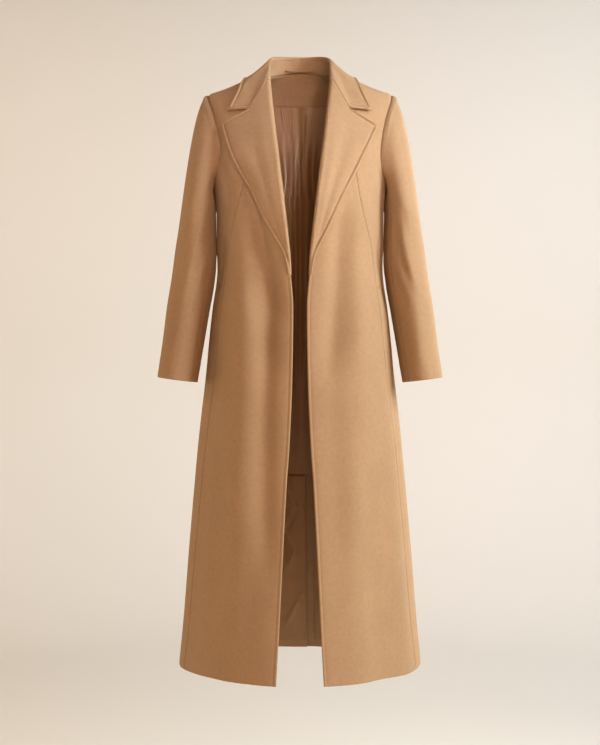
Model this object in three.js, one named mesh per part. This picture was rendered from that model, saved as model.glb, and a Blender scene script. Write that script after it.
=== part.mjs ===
// A long open-front wool coat for a woman, filled out as it hangs on a wearer, with no wearer in it.
// Millimetres. +Z is up, the coat faces -Y, and +X is the wearer's left. The origin is the middle of the
// shoulders, at the height of the shoulder points, which is where a wearer holds the coat up.
//
// Every body panel lies on one form, which is a stack of level sections. A place on the form is an angle
// round it (0 at centre front, 90 at the side, 180 at centre back, in degrees) and a height. Lapels, facing
// and lining are the same form moved out or in. The collar and the sleeves are lofted from it.
import * as THREE from "three";

// ---- Driving sizes ----------------------------------------------------------------------------------
const CLOTH = 2.4; // the coating with its interlining
const LINING = 1.0;
const SEAM = 0.3; // between two pieces at a seam, and between layers that touch
const HEM = -1202;
const WAIST = -345;
const UNDERARM = -215;
const SHOULDER_POINT = -9; // top of the armhole
const NECK_POINT = 35; // where shoulder seam and neck seam meet, at the side of the neck
const BREAK = -402; // lowest point of the lapel
const VENT_TOP = -815;
const VENT_UNDERLAP = 14; // how far the wearer's right back runs on under the left one
const VENT_DEPTH = CLOTH + 2.5; // how much deeper that underlap lies
const SIDE_SEAM = 97; // degrees round the form
const BACK_RISE = 20; // the neck seam is this much higher at centre back than at the side of the neck

// The body form: half the width, and the depth in front of and behind the shoulder line, at each height.
// Above the shoulder point, half is where the shoulder seam reaches that height. squareness is the power
// of the superellipse.
const SECTIONS = [
  { z: HEM, half: 255, front: 207, back: 143, squareness: 1.85 },
  { z: -1093, half: 245, front: 200, back: 139, squareness: 1.9 },
  { z: -965, half: 235, front: 192, back: 134, squareness: 1.95 },
  { z: -840, half: 224, front: 184, back: 128, squareness: 2.05 },
  { z: -715, half: 212, front: 175, back: 122, squareness: 2.1 },
  { z: -590, half: 197, front: 165, back: 115, squareness: 2.15 },
  { z: -525, half: 191, front: 158, back: 109, squareness: 2.2 },
  { z: -460, half: 184, front: 150, back: 101, squareness: 2.2 },
  { z: -400, half: 175, front: 143, back: 94, squareness: 2.2 },
  { z: WAIST, half: 169, front: 141, back: 94, squareness: 2.2 },
  { z: -262, half: 169, front: 149, back: 105, squareness: 2.3 },
  { z: -200, half: 177, front: 137, back: 112, squareness: 2.4 },
  { z: -150, half: 190, front: 120, back: 113, squareness: 2.4 },
  { z: -100, half: 197, front: 101, back: 109, squareness: 2.4 },
  { z: -60, half: 198, front: 85, back: 103, squareness: 2.4 },
  { z: -30, half: 197, front: 72, back: 96, squareness: 2.4 },
  { z: -10, half: 192, front: 62, back: 90, squareness: 2.35 },
  { z: 0, half: 180, front: 56, back: 86, squareness: 2.3 },
  { z: 10, half: 152, front: 49, back: 82, squareness: 2.25 },
  { z: 20, half: 123, front: 40, back: 77, squareness: 2.2 },
  { z: 28, half: 99, front: 31, back: 72, squareness: 2.15 },
  { z: NECK_POINT, half: 77, front: 24, back: 67, squareness: 2.1 },
];

// How far the front edge stands from the middle plane. Above the break this is the line where the front
// meets its lapel, a little outside the roll that shows.
const FRONT_EDGE = [
  { z: HEM, x: 46.5 },
  { z: -1141, x: 43 },
  { z: -803, x: 25.5 },
  { z: -740, x: 21 },
  { z: -611, x: 15.5 },
  { z: -465, x: 13.5 },
  { z: BREAK, x: 18 },
  { z: -340, x: 26 },
  { z: -262, x: 36 },
  { z: -170, x: 48 },
  { z: -69, x: 60 },
  { z: 5, x: 68 },
  { z: NECK_POINT, x: 71 },
];

// The seam between front and side front, as a share of the form's half width.
const PRINCESS_SEAM = [
  { z: HEM, share: 0.93 },
  { z: -689, share: 0.9 },
  { z: -520, share: 0.885 },
  { z: -357, share: 0.87 },
  { z: -287, share: 0.78 },
  { z: -213, share: 0.67 },
  { z: -120, share: 0.51 },
  { z: -40, share: 0.44 },
  { z: 5, share: 0.49 },
  { z: NECK_POINT, share: 0.97 },
];

// Outer edge of the lapel, seen from the front.
const LAPEL_EDGE = [
  { z: BREAK, x: 21 },
  { z: -380, x: 25 },
  { z: -355, x: 32 },
  { z: -311, x: 53 },
  { z: -251, x: 81 },
  { z: -193, x: 109 },
  { z: -131, x: 138 },
  { z: -85, x: 159 },
];
const GORGE_TOP = { x: 68, z: 5 }; // where lapel, collar and roll meet
const NOTCH = { x: 101, z: -54 };
const LAPEL_POINT = { x: 159, z: -85 };
const COLLAR_POINT = { x: 146, z: -57 };
const NOTCH_SHARE = 3 / 7; // of the lapel's top edge, from roll to point
const LAPEL_START = 0.012; // of the lapel's length, where its lowest row starts above the break
const LAPEL_REST = 0.9 + CLOTH / 2; // height of its middle over the front, where it lies on it
const ROLL_GAP = 0.7; // from the front's edge to the start of the roll, at the middle of the cloth
const GORGE_GAP = 1.3;
const COLLAR_REST = 2 + CLOTH / 2; // height of the fall's edge over the body

// The collar's fold, from centre back round to the gorge, on the wearer's left.
const COLLAR_FOLD = [
  { round: 0, x: 0, y: 62.5, z: 86.5 },
  { round: 0.2, x: 37, y: 53, z: 86 },
  { round: 0.4, x: 57, y: 30, z: 79.5 },
  { round: 0.55, x: 64, y: 6, z: 69 },
  { round: 0.7, x: 65, y: -15, z: 55 },
  { round: 0.85, x: 66, y: -42, z: 33 },
  { round: 1, x: 67.5, y: -57, z: 11 },
];
const NECK_SEAM = 0.9; // from the body's edge to the stand's lower edge
const CORNER_EASE = 2; // more of it where the neck seam turns
const NECK_CORNER = 0.7; // where the neck seam turns from the top of the front down its edge
const SHOULDER_ROUND = 0.55;
const FALL_EDGE = { back: 6, shoulder: 22.5 }; // heights on the form of the collar's outer edge
const STAND_SHARE = { back: 0.6, gorge: 0.25 }; // of the rise from neck seam to fold

// Inside the back: the neck facing, and the lining with its pleat and gathers. Their places across the back
// run from 0 at the wearer's left side by 1 at centre back to 2 at the right side.
const NECK_EASE = 0.8; // between the body's cloth and the facing, at the neck seam
const LINING_EASE = 3.2; // the same, from the shoulder blades down
const SKIRT_EASE = 2.3; // the same, beside the vent
const FACING_LOW = { back: -21, side: 6 };
const INSIDE_INSET = 2; // degrees that facing and lining stop short of the back's edges
const PLEAT = { place: 0.985, width: 0.014, out: 3, top: -60, bottom: -260 };
const GATHERS = { count: 5, from: 1.04, to: 1.125, out: 1.6, top: -30, bottom: -85 };
const VENT_STEP = 7.5; // how far the back lining's lower edge stands off the panels at the vent
const VENT_FACING = 28; // turned-in cloth that shows beside the vent
const LINING_HEM = HEM + 17;
const LOOP = {
  halfLength: 31,
  width: 5,
  thick: 2,
  height: 60,
  sag: 2.5,
  bow: 7.5,
  rest: 2.6,
  part: 0.15,
  roundLength: 176,
};

// Radius of the lapel's roll along its length.
const LAPEL_ROLL = [
  { z: BREAK, r: 2.2 },
  { z: -340, r: 3.6 },
  { z: -262, r: 5 },
  { z: -120, r: 6 },
  { z: 5, r: 6 },
];

// The sleeve below the cap: its outer and inner sides seen from the front, and its depth and middle seen
// from the side.
const SLEEVE_RINGS = [
  { z: -252, outer: 249, inner: 177, halfDepth: 77, middle: -5 },
  { z: -300, outer: 256, inner: 176, halfDepth: 75, middle: -3 },
  { z: -345, outer: 263, inner: 175, halfDepth: 73, middle: -3 },
  { z: -400, outer: 270, inner: 180, halfDepth: 70, middle: -6 },
  { z: -460, outer: 279, inner: 190, halfDepth: 67, middle: -13 },
  { z: -525, outer: 286, inner: 200, halfDepth: 63, middle: -23 },
  { z: -607, outer: 296, inner: 213, halfDepth: 58, middle: -37 },
];
const SLEEVE_TILT = 7.5; // degrees that a ring leans, because the sleeve hangs a little outwards
const SLEEVE_FRONT_SEAM = 140; // degrees round the sleeve: 0 outermost, 90 at the front, 180 innermost
const SLEEVE_BACK_SEAM = 236;
const CAP_LIFT = 0.5; // the sleeve starts this far outside the body's cloth
const CAP_HANDLE = { top: 22, bottom: 6 }; // how far the cap runs outwards before it turns down

// Soft folds: each runs down between two heights, from one angle of the form to another, and moves the
// cloth out or, where it is negative, in.
const FOLDS = [
  { name: "under the lapel", top: -200, bottom: -640, topAngle: 36, bottomAngle: 13, width: 11, out: -7 },
  { name: "from the bust", top: -230, bottom: -1000, topAngle: 47, bottomAngle: 32, width: 13, out: 4 },
  { name: "front skirt", top: -560, bottom: -1500, topAngle: 46, bottomAngle: 48, width: 9, out: -4 },
  { name: "at the seam", top: -480, bottom: -1500, topAngle: 60, bottomAngle: 64, width: 9, out: 2 },
  { name: "side skirt", top: -560, bottom: -1500, topAngle: 84, bottomAngle: 82, width: 9, out: -1.5 },
  { name: "back skirt", top: -520, bottom: -1500, topAngle: 122, bottomAngle: 126, width: 13, out: -7 },
  { name: "beside the vent", top: -480, bottom: -1500, topAngle: 146, bottomAngle: 150, width: 12, out: 5 },
];

// ---- Interpolation ----------------------------------------------------------------------------------
const RAD = Math.PI / 180;
const lerp = (a, b, t) => a + (b - a) * t;
const clamp01 = (t) => Math.min(1, Math.max(0, t));
const smoothstep = (a, b, v) => {
  const t = clamp01((v - a) / (b - a));
  return t * t * (3 - 2 * t);
};

// A smooth curve through one column of a table, which never overshoots its rows.
function column(table, key, by = "z") {
  const rows = [...table].sort((a, b) => a[by] - b[by]);
  const steps = rows.slice(1).map((row, i) => (row[key] - rows[i][key]) / (row[by] - rows[i][by]));
  const slopes = rows.map((_, i) => {
    if (i === 0) return steps[0];
    if (i === rows.length - 1) return steps[i - 1];
    const [before, after] = [steps[i - 1], steps[i]];
    return before * after <= 0 ? 0 : (2 * before * after) / (before + after);
  });
  return (at) => {
    if (at <= rows[0][by]) return rows[0][key] + slopes[0] * (at - rows[0][by]);
    const last = rows.length - 1;
    if (at >= rows[last][by]) return rows[last][key] + slopes[last] * (at - rows[last][by]);
    const i = rows.findIndex((row, k) => k < last && at >= row[by] && at <= rows[k + 1][by]);
    const width = rows[i + 1][by] - rows[i][by];
    const t = (at - rows[i][by]) / width;
    return (
      rows[i][key] * (1 + 2 * t) * (1 - t) ** 2 +
      slopes[i] * width * t * (1 - t) ** 2 +
      rows[i + 1][key] * t * t * (3 - 2 * t) +
      slopes[i + 1] * width * t * t * (t - 1)
    );
  };
}

const half = column(SECTIONS, "half");
const front = column(SECTIONS, "front");
const back = column(SECTIONS, "back");
const squareness = column(SECTIONS, "squareness");
const frontEdge = column(FRONT_EDGE, "x");
const princessShare = column(PRINCESS_SEAM, "share");
const lapelEdge = column(LAPEL_EDGE, "x");
const lapelRoll = column(LAPEL_ROLL, "r");

// ---- The body form ----------------------------------------------------------------------------------
function foldAt(angle, z) {
  const round = angle > 180 ? 360 - angle : angle;
  return FOLDS.reduce((sum, fold) => {
    const along = clamp01((z - fold.top) / (fold.bottom - fold.top));
    const centre = lerp(fold.topAngle, fold.bottomAngle, along);
    const across = (round - centre) / fold.width;
    const length = smoothstep(0, 0.3, along) * (1 - smoothstep(0.75, 1, along));
    return sum + fold.out * length * Math.exp(-across * across);
  }, 0);
}

// The point of the form at an angle and height, on the wearer's left.
function onForm(angle, z) {
  const turn = angle * RAD;
  const power = 2 / squareness(z);
  const sine = Math.sin(turn);
  const cosine = Math.cos(turn);
  const depth = cosine > 0 ? -front(z) : back(z);
  const rise = BACK_RISE * Math.max(0, -cosine) ** 2 * smoothstep(-70, NECK_POINT, z);
  const across = Math.sign(sine) * Math.abs(sine) ** power;
  const along = Math.abs(cosine) ** power;
  const out = foldAt(angle, z);
  return new THREE.Vector3((half(z) + out) * across, (depth + Math.sign(depth) * out) * along, z + rise);
}

function formNormal(angle, z) {
  const [da, dz] = [0.4, 1.5];
  const round = onForm(angle + da, z).sub(onForm(angle - da, z));
  const up = onForm(angle, z + dz).sub(onForm(angle, z - dz));
  return round.cross(up).normalize();
}

// The form's angle where it stands x from the middle plane, in front.
const angleAt = (x, z) => Math.asin(Math.min(1, x / half(z)) ** (squareness(z) / 2)) / RAD;
const princess = (z) => angleAt(princessShare(z) * half(z), z);

// Degrees of the form's angle that make a given distance along its section.
function degreesFor(distance, angle, z) {
  return (distance * 0.8) / onForm(angle + 0.4, z).distanceTo(onForm(angle - 0.4, z));
}

// The armhole, round which turn runs from 0 at the shoulder point, forwards, under the arm and up behind.
const ARMHOLE_MIDDLE = (SHOULDER_POINT + UNDERARM) / 2;
const ARMHOLE_HALF = (SHOULDER_POINT - UNDERARM) / 2;
function armhole(turn) {
  const cosine = Math.cos(turn * RAD);
  const sine = Math.sin(turn * RAD);
  const low = (1 - cosine) / 2;
  const width = sine > 0 ? 35 : 33;
  const angle = 90 + (SIDE_SEAM - 90) * low ** 2 - width * sine * (1 - 0.12 * cosine);
  return { angle, z: ARMHOLE_MIDDLE + ARMHOLE_HALF * cosine };
}
const armholeTurn = (z) => Math.acos((z - ARMHOLE_MIDDLE) / ARMHOLE_HALF) / RAD;

// ---- Walls ------------------------------------------------------------------------------------------
// A closed wall of cloth from a grid of rows of { point, normal }: its faces stand out and out - thick from
// the points, along the normals.
function wall(grid, out, thick, mirrored) {
  const rows = grid.length;
  const columns = grid[0].length;
  const positions = [];
  for (const shift of [out, out - thick])
    for (const row of grid)
      for (const { point, normal } of row) {
        const p = point.clone().addScaledVector(normal, shift);
        positions.push(mirrored ? -p.x : p.x, p.y, p.z);
      }
  const at = (layer, i, j) => (layer * rows + i) * columns + j;
  const indices = [];
  const quad = (a, b, c, d) => indices.push(a, b, c, a, c, d);
  for (let i = 0; i < rows - 1; i++)
    for (let j = 0; j < columns - 1; j++) {
      quad(at(0, i, j), at(0, i, j + 1), at(0, i + 1, j + 1), at(0, i + 1, j));
      quad(at(1, i, j), at(1, i + 1, j), at(1, i + 1, j + 1), at(1, i, j + 1));
    }
  for (let j = 0; j < columns - 1; j++) {
    quad(at(1, 0, j), at(1, 0, j + 1), at(0, 0, j + 1), at(0, 0, j));
    quad(at(0, rows - 1, j), at(0, rows - 1, j + 1), at(1, rows - 1, j + 1), at(1, rows - 1, j));
  }
  for (let i = 0; i < rows - 1; i++) {
    quad(at(0, i, 0), at(0, i + 1, 0), at(1, i + 1, 0), at(1, i, 0));
    const end = columns - 1;
    quad(at(1, i, end), at(1, i + 1, end), at(0, i + 1, end), at(0, i, end));
  }
  if (mirrored) indices.reverse();
  const geometry = new THREE.BufferGeometry();
  geometry.setAttribute("position", new THREE.Float32BufferAttribute(positions, 3));
  geometry.setIndex(indices);
  geometry.computeVertexNormals();
  return geometry;
}

// A grid of points of a surface, each with the surface's normal there. The surface is a function of how far
// across and how far up.
function surfaceGrid(surface, acrossList, upList) {
  const step = 0.005;
  return upList.map((up) =>
    acrossList.map((across) => {
      const sideways = surface(across + step, up).sub(surface(across - step, up));
      const upwards = surface(across, up + step).sub(surface(across, up - step));
      return { point: surface(across, up), normal: sideways.cross(upwards).normalize() };
    }),
  );
}

const shares = (count) => Array.from({ length: count + 1 }, (_, i) => i / count);

// A grid on the form between two angles at each height of a list.
function formGrid(heights, from, to, cells, sink = () => 0) {
  return heights.map((z) =>
    shares(cells).map((share) => {
      const angle = lerp(from(z), to(z), share);
      const normal = formNormal(angle, z);
      return { point: onForm(angle, z).addScaledVector(normal, -sink(angle, z)), normal };
    }),
  );
}

// ---- Materials --------------------------------------------------------------------------------------
const wool = new THREE.MeshStandardMaterial({ color: 0xb98a5e, roughness: 0.9, metalness: 0 });
const satin = new THREE.MeshStandardMaterial({ color: 0x8a6142, roughness: 0.45, metalness: 0 });

const coat = new THREE.Group();
function add(name, geometry, material) {
  const mesh = new THREE.Mesh(geometry, material);
  mesh.name = name;
  coat.add(mesh);
}

// ---- Body panels ------------------------------------------------------------------------------------
const VENT_HEIGHTS = [HEM, -1120, -1040, -960, -885, VENT_TOP - 4, VENT_TOP - 2, VENT_TOP];
const TORSO_HEIGHTS = [-740, -665, -590, -525, -460, BREAK, WAIST, -300, -255, UNDERARM];
const ARMHOLE_STEPS = 8;
const ARMHOLE_HEIGHTS = shares(ARMHOLE_STEPS)
  .slice(1)
  .map((share) => armhole(180 * (1 - share)).z);
const SHOULDER_HEIGHTS = [0, 10, 20, 28, NECK_POINT];
const HEIGHTS = [...VENT_HEIGHTS, ...TORSO_HEIGHTS, ...ARMHOLE_HEIGHTS, ...SHOULDER_HEIGHTS];

// The side seam, then the armhole's front or back edge, then the shoulder seam.
function outerBoundary(z, forwards) {
  if (z >= SHOULDER_POINT) return 90;
  if (z <= UNDERARM) return SIDE_SEAM;
  const turn = armholeTurn(z);
  return armhole(forwards ? turn : 360 - turn).angle;
}
const inset = (angle, z, way) => angle + way * degreesFor(SEAM / 2, angle, z);

const frontFrom = (z) => angleAt(frontEdge(z), z);
const frontTo = (z) => inset(princess(z), z, -1);
const sideFrom = (z) => inset(princess(z), z, 1);
const sideTo = (z) => inset(outerBoundary(z, true), z, -1);
const backFrom = (z) => inset(outerBoundary(z, false), z, 1);
const backTo = (z) => inset(180, z, -1);

// The wearer's right back runs on past the middle below the vent's top, and sinks behind the left back.
const ventShare = (z) => (z < VENT_TOP - 3 ? 1 : 0);
const underlapTo = (z) => lerp(backTo(z), 180 + degreesFor(VENT_UNDERLAP, 180, z), ventShare(z));
const underlapSink = (angle, z) => (z < VENT_TOP ? VENT_DEPTH * smoothstep(166, 177, angle) : 0);

const frontGrid = formGrid(HEIGHTS, frontFrom, frontTo, 7);
const sideGrid = formGrid(HEIGHTS, sideFrom, sideTo, 5);
const backGrid = formGrid(HEIGHTS, backFrom, backTo, 8);
const underlapGrid = formGrid(HEIGHTS, backFrom, underlapTo, 9, underlapSink);

for (const [side, mirrored] of [["left", false], ["right", true]]) {
  add(`front_${side}`, wall(frontGrid, 0, CLOTH, mirrored), wool);
  add(`side_${side}`, wall(sideGrid, 0, CLOTH, mirrored), wool);
  add(`back_${side}`, wall(mirrored ? underlapGrid : backGrid, 0, CLOTH, mirrored), wool);
}

// ---- Lapels -----------------------------------------------------------------------------------------
// A point out from the form where it stands x from the middle plane at a height, in front.
function outFrom(x, z, out) {
  const angle = angleAt(x, z);
  return onForm(angle, z).addScaledVector(formNormal(angle, z), out);
}

// A point of the cloth that is turned out over the chest, on its middle surface. From 0 to 1, part runs
// from the front's edge round the roll, and from 1 to 2 over the chest to that row's tip. pull is how far
// the row bends to the notch.
function turnedOut(part, z, tip, pull) {
  const x = frontEdge(z) - ROLL_GAP;
  const radius = lapelRoll(z);
  if (part <= 1) {
    const turn = (part - 0.5) * Math.PI;
    return outFrom(x - radius * Math.cos(turn), z, radius * (1 + Math.sin(turn)) - CLOTH / 2);
  }
  const across = part - 1;
  const bend = pull * (across < NOTCH_SHARE ? across / NOTCH_SHARE : (1 - across) / (1 - NOTCH_SHARE));
  const notchX = NOTCH.x - lerp(GORGE_TOP.x, tip.x, NOTCH_SHARE);
  const notchZ = NOTCH.z - lerp(GORGE_TOP.z, tip.z, NOTCH_SHARE);
  const top = 2 * radius - CLOTH / 2;
  const out = LAPEL_REST + (top - LAPEL_REST) * Math.max(0, 1 - across) ** 1.6;
  return outFrom(lerp(x, tip.x, across) + bend * notchX, lerp(z, tip.z, across) + bend * notchZ, out);
}

const TURNED_PARTS = [...shares(5), ...shares(7).slice(1).map((share) => 1 + share)];
function onLapel(part, up) {
  const tipZ = lerp(BREAK, LAPEL_POINT.z, up);
  const tip = { x: lapelEdge(tipZ), z: tipZ };
  return turnedOut(part, lerp(BREAK, GORGE_TOP.z, up), tip, up ** 4);
}
const lapelUps = shares(12).map((share) => lerp(LAPEL_START, 1, share));
const lapelGrid = surfaceGrid(onLapel, TURNED_PARTS, lapelUps);
for (const [side, mirrored] of [["left", false], ["right", true]])
  add(`lapel_${side}`, wall(lapelGrid, CLOTH / 2, CLOTH, mirrored), wool);

// ---- Collar -----------------------------------------------------------------------------------------
// Both of its pieces go right round the neck: round is 0 at centre back and 1 at the gorge.
const [foldX, foldY, foldZ] = ["x", "y", "z"].map((key) => column(COLLAR_FOLD, key, "round"));

// The middle of the cloth where the neck seam joins the stand to the body.
function neckSeam(round) {
  const z = lerp(NECK_POINT, GORGE_TOP.z, clamp01((round - NECK_CORNER) / (1 - NECK_CORNER)));
  const angle = lerp(180, frontFrom(z), clamp01(round / NECK_CORNER));
  const seam = onForm(angle, z);
  const up = seam.clone().sub(onForm(angle, z - 1)).normalize();
  const inward = onForm(angle - 0.5, z).sub(seam).normalize();
  const away = up.lerp(inward, smoothstep(NECK_CORNER - 0.1, NECK_CORNER + 0.05, round)).normalize();
  const outward = new THREE.Vector3(seam.x, seam.y - 15, 0).normalize();
  const corner = 1 - smoothstep(0.05, 0.15, Math.abs(round - NECK_CORNER));
  const gap = NECK_SEAM + (CLOTH / 2) * Math.max(0, -outward.dot(away)) + CORNER_EASE * corner;
  return seam.addScaledVector(formNormal(angle, z), -CLOTH / 2).addScaledVector(away, gap);
}

// The outer edge of the collar's fall: round the back to the shoulder seam, then down to the collar point.
function fallEdge(round) {
  const before = clamp01(round / SHOULDER_ROUND);
  const after = clamp01((round - SHOULDER_ROUND) / (1 - SHOULDER_ROUND));
  const behindZ = lerp(FALL_EDGE.back, FALL_EDGE.shoulder, before);
  const z = lerp(behindZ, COLLAR_POINT.z, after);
  const x = lerp(half(FALL_EDGE.shoulder), COLLAR_POINT.x, after);
  const angle = after > 0 ? angleAt(x, z) : lerp(180, 90, before);
  const normal = formNormal(angle, z);
  return { point: onForm(angle, z).addScaledVector(normal, COLLAR_REST), normal };
}

// A point of the collar on the wearer's left: 0 to 1 of part rises to the fold, and 1 to 2 falls from it.
function freeCollar(part, round) {
  const fold = new THREE.Vector3(foldX(round), foldY(round), foldZ(round));
  const { point: edge, normal } = fallEdge(round);
  const over = edge.clone().sub(fold).multiply(new THREE.Vector3(1, 1, 0.3)).normalize();
  if (part <= 1) {
    const seam = neckSeam(round);
    const rise = seam.distanceTo(fold);
    const aboveSeam = seam.clone().setZ(seam.z + 0.45 * rise);
    const beforeFold = fold.clone().addScaledVector(over, -0.35 * rise);
    return new THREE.CubicBezierCurve3(seam, aboveSeam, beforeFold, fold).getPoint(part);
  }
  const back = fold.clone().sub(edge);
  const fall = back.length();
  const upslope = back.addScaledVector(normal, -back.dot(normal)).normalize();
  const pastFold = fold.clone().addScaledVector(over, 0.1 * fall);
  const beforeEdge = edge.clone().addScaledVector(upslope, 0.5 * fall);
  return new THREE.CubicBezierCurve3(fold, pastFold, beforeEdge, edge).getPoint(part - 1);
}

// The same, drawn to the gorge, where the collar meets the lapel.
function onCollar(part, round) {
  const side = Math.sign(round) || 1;
  const turn = Math.abs(round);
  const gorge = turnedOut(part, GORGE_TOP.z, COLLAR_POINT, 1).add(new THREE.Vector3(0, 0, GORGE_GAP));
  const pull = smoothstep(0.7, 1, turn);
  const point = freeCollar(part, turn).addScaledVector(gorge.sub(freeCollar(part, 1)), pull);
  return point.setX(point.x * side);
}

const COLLAR_ROUNDS = [0, 0.12, 0.24, 0.36, 0.46, 0.52, 0.55, 0.58, 0.65, 0.72, 0.79, 0.86, 0.93, 1];
const BOTH_WAYS = [...COLLAR_ROUNDS.slice(1).reverse().map((round) => -round), ...COLLAR_ROUNDS];
const standTop = (round) => lerp(STAND_SHARE.back, STAND_SHARE.gorge, round ** 2);
const seamShare = (round) => SEAM / 2 / neckSeam(Math.abs(round)).distanceTo(onCollar(1, Math.abs(round)));
const onStand = (round, up) => onCollar(up * (standTop(round) - seamShare(round)), round);
function onFall(round, part) {
  const start = standTop(round) + seamShare(round);
  return onCollar(part <= 0 ? 1 + part * (1 - start) : 1 + part, round);
}
const fallParts = [...shares(4).map((share) => share - 1), ...shares(7).slice(1)];
add("collar_stand", wall(surfaceGrid(onStand, BOTH_WAYS, shares(3)), CLOTH / 2, CLOTH, false), wool);
add("collar", wall(surfaceGrid(onFall, BOTH_WAYS, fallParts), CLOTH / 2, CLOTH, false), wool);

// ---- Inside the back --------------------------------------------------------------------------------
// How deep the facing and the lining lie behind the body's outer face.
const inside = (z) => CLOTH + lerp(LINING_EASE, NECK_EASE, smoothstep(-60, NECK_POINT, z));
const facingLow = (place) => lerp(FACING_LOW.back, FACING_LOW.side, (1 - place) ** 2);

// A grid inside the back. Its places across run from the wearer's left edge (0) by centre back (1) to the
// right edge (2), and the rows of each place run between two heights.
function insideGrid(places, rowShares, low, high, lift) {
  return rowShares.map((share) =>
    places.map((place) => {
      const z = lerp(low(place), high(place), share);
      const fromEdge = lerp(backFrom(z) + INSIDE_INSET, 180, 1 - Math.abs(place - 1));
      const angle = place > 1 ? 360 - fromEdge : fromEdge;
      const normal = formNormal(angle, z);
      return { point: onForm(angle, z).addScaledVector(normal, -inside(z) - lift(place, z)), normal };
    }),
  );
}

const leftPlaces = [0, 0.15, 0.29, 0.42, 0.54, 0.65, 0.76, 0.87];
const rightPlaces = [1.24, 1.35, 1.46, 1.58, 1.71, 1.85, 2];
const facingPlaces = [...leftPlaces, 1, 1.13, ...rightPlaces];
const facing = insideGrid(facingPlaces, shares(5), facingLow, () => NECK_POINT - 1, () => 0);
add("back_neck_facing", wall(facing, 0, CLOTH, false), wool);

// The pleat at centre back and the gathers beside it stand up from the lining, towards the front.
function liningLift(place, z) {
  const fromPleat = (place - PLEAT.place) / PLEAT.width;
  const pleat = PLEAT.out * Math.exp(-fromPleat * fromPleat) * smoothstep(PLEAT.bottom, PLEAT.top, z);
  const along = clamp01((place - GATHERS.from) / (GATHERS.to - GATHERS.from));
  const wave = Math.sin(along * GATHERS.count * Math.PI) ** 2;
  const gathers = GATHERS.out * wave * smoothstep(GATHERS.bottom, GATHERS.top, z);
  const low = 1 - smoothstep(VENT_TOP, VENT_TOP + 170, z);
  const middle = 1 - smoothstep(0.12, 0.4, Math.abs(place - 1));
  return pleat + gathers + VENT_STEP * low * middle;
}
const gatherPlaces = shares(2 * GATHERS.count).map((share) => lerp(GATHERS.from, GATHERS.to, share));
const pleatPlaces = [-1.5, -0.6, 0, 0.6, 1.5].map((step) => PLEAT.place + step * PLEAT.width);
const liningPlaces = [...leftPlaces, ...pleatPlaces, ...gatherPlaces, ...rightPlaces];
const liningShares = [0, 0.11, 0.23, 0.35, 0.46, 0.56, 0.65, 0.74, 0.82, 0.89, 0.95, 1];
const liningTop = (place) => facingLow(place) - SEAM;
const liningBack = insideGrid(liningPlaces, liningShares, () => VENT_TOP, liningTop, liningLift);
add("lining_back", wall(liningBack, 0, LINING, false), satin);

// Beside the vent: on the wearer's right the lining reaches the underlap's edge, and on the left it stops
// short of the vent's turned-in cloth.
const LINING_HEIGHTS = [LINING_HEM, -1120, -1040, -960, -885, VENT_TOP - 6];
const skirtFrom = (z) => backFrom(z) + INSIDE_INSET;
const rightTo = (z) => 180 + degreesFor(VENT_UNDERLAP - 2, 180, z);
const leftTo = (z) => 180 - degreesFor(VENT_FACING, 180, z);
const skirtInside = CLOTH + SKIRT_EASE;
const underlapInside = (angle, z) => skirtInside + underlapSink(angle, z);
const skirtRight = formGrid(LINING_HEIGHTS, skirtFrom, rightTo, 12, underlapInside);
const skirtLeft = formGrid(LINING_HEIGHTS, skirtFrom, leftTo, 8, () => skirtInside);
add("lining_skirt_right", wall(skirtRight, 0, LINING, true), satin);
add("lining_skirt_left", wall(skirtLeft, 0, LINING, false), satin);

// ---- Hanger loop ------------------------------------------------------------------------------------
// A narrow tape from one end in the neck seam to the other, hanging a little away from the stand.
function onLoop(across, up) {
  const share = 2 * across - 1;
  const stand = onCollar(LOOP.part, (Math.abs(share) * LOOP.halfLength) / LOOP.roundLength);
  const middle = 1 - share ** 2;
  return new THREE.Vector3(
    share * LOOP.halfLength,
    stand.y - LOOP.rest - LOOP.bow * middle,
    LOOP.height - LOOP.sag * middle + (up - 0.5) * LOOP.width,
  );
}
const loopGrid = surfaceGrid(onLoop, shares(14), shares(2));
add("hanger_loop", wall(loopGrid, LOOP.thick / 2, LOOP.thick, false), wool);

// ---- Sleeves ----------------------------------------------------------------------------------------
const sleeveColumn = Object.fromEntries(
  ["outer", "inner", "halfDepth", "middle"].map((key) => [key, column(SLEEVE_RINGS, key)]),
);
// The point of a sleeve ring whose middle is at a height.
function onRing(turn, z) {
  const halfWidth = (sleeveColumn.outer(z) - sleeveColumn.inner(z)) / 2;
  const centre = (sleeveColumn.outer(z) + sleeveColumn.inner(z)) / 2;
  const across = halfWidth * Math.cos(turn * RAD);
  return new THREE.Vector3(
    centre + across * Math.cos(SLEEVE_TILT * RAD),
    sleeveColumn.middle(z) - sleeveColumn.halfDepth(z) * Math.sin(turn * RAD),
    z + across * Math.sin(SLEEVE_TILT * RAD),
  );
}
const CAP_BOTTOM = SLEEVE_RINGS[0].z;
const CUFF = SLEEVE_RINGS[SLEEVE_RINGS.length - 1].z;
const SLEEVE_HANG = new THREE.Vector3(Math.sin(SLEEVE_TILT * RAD), 0, -Math.cos(SLEEVE_TILT * RAD));

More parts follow.
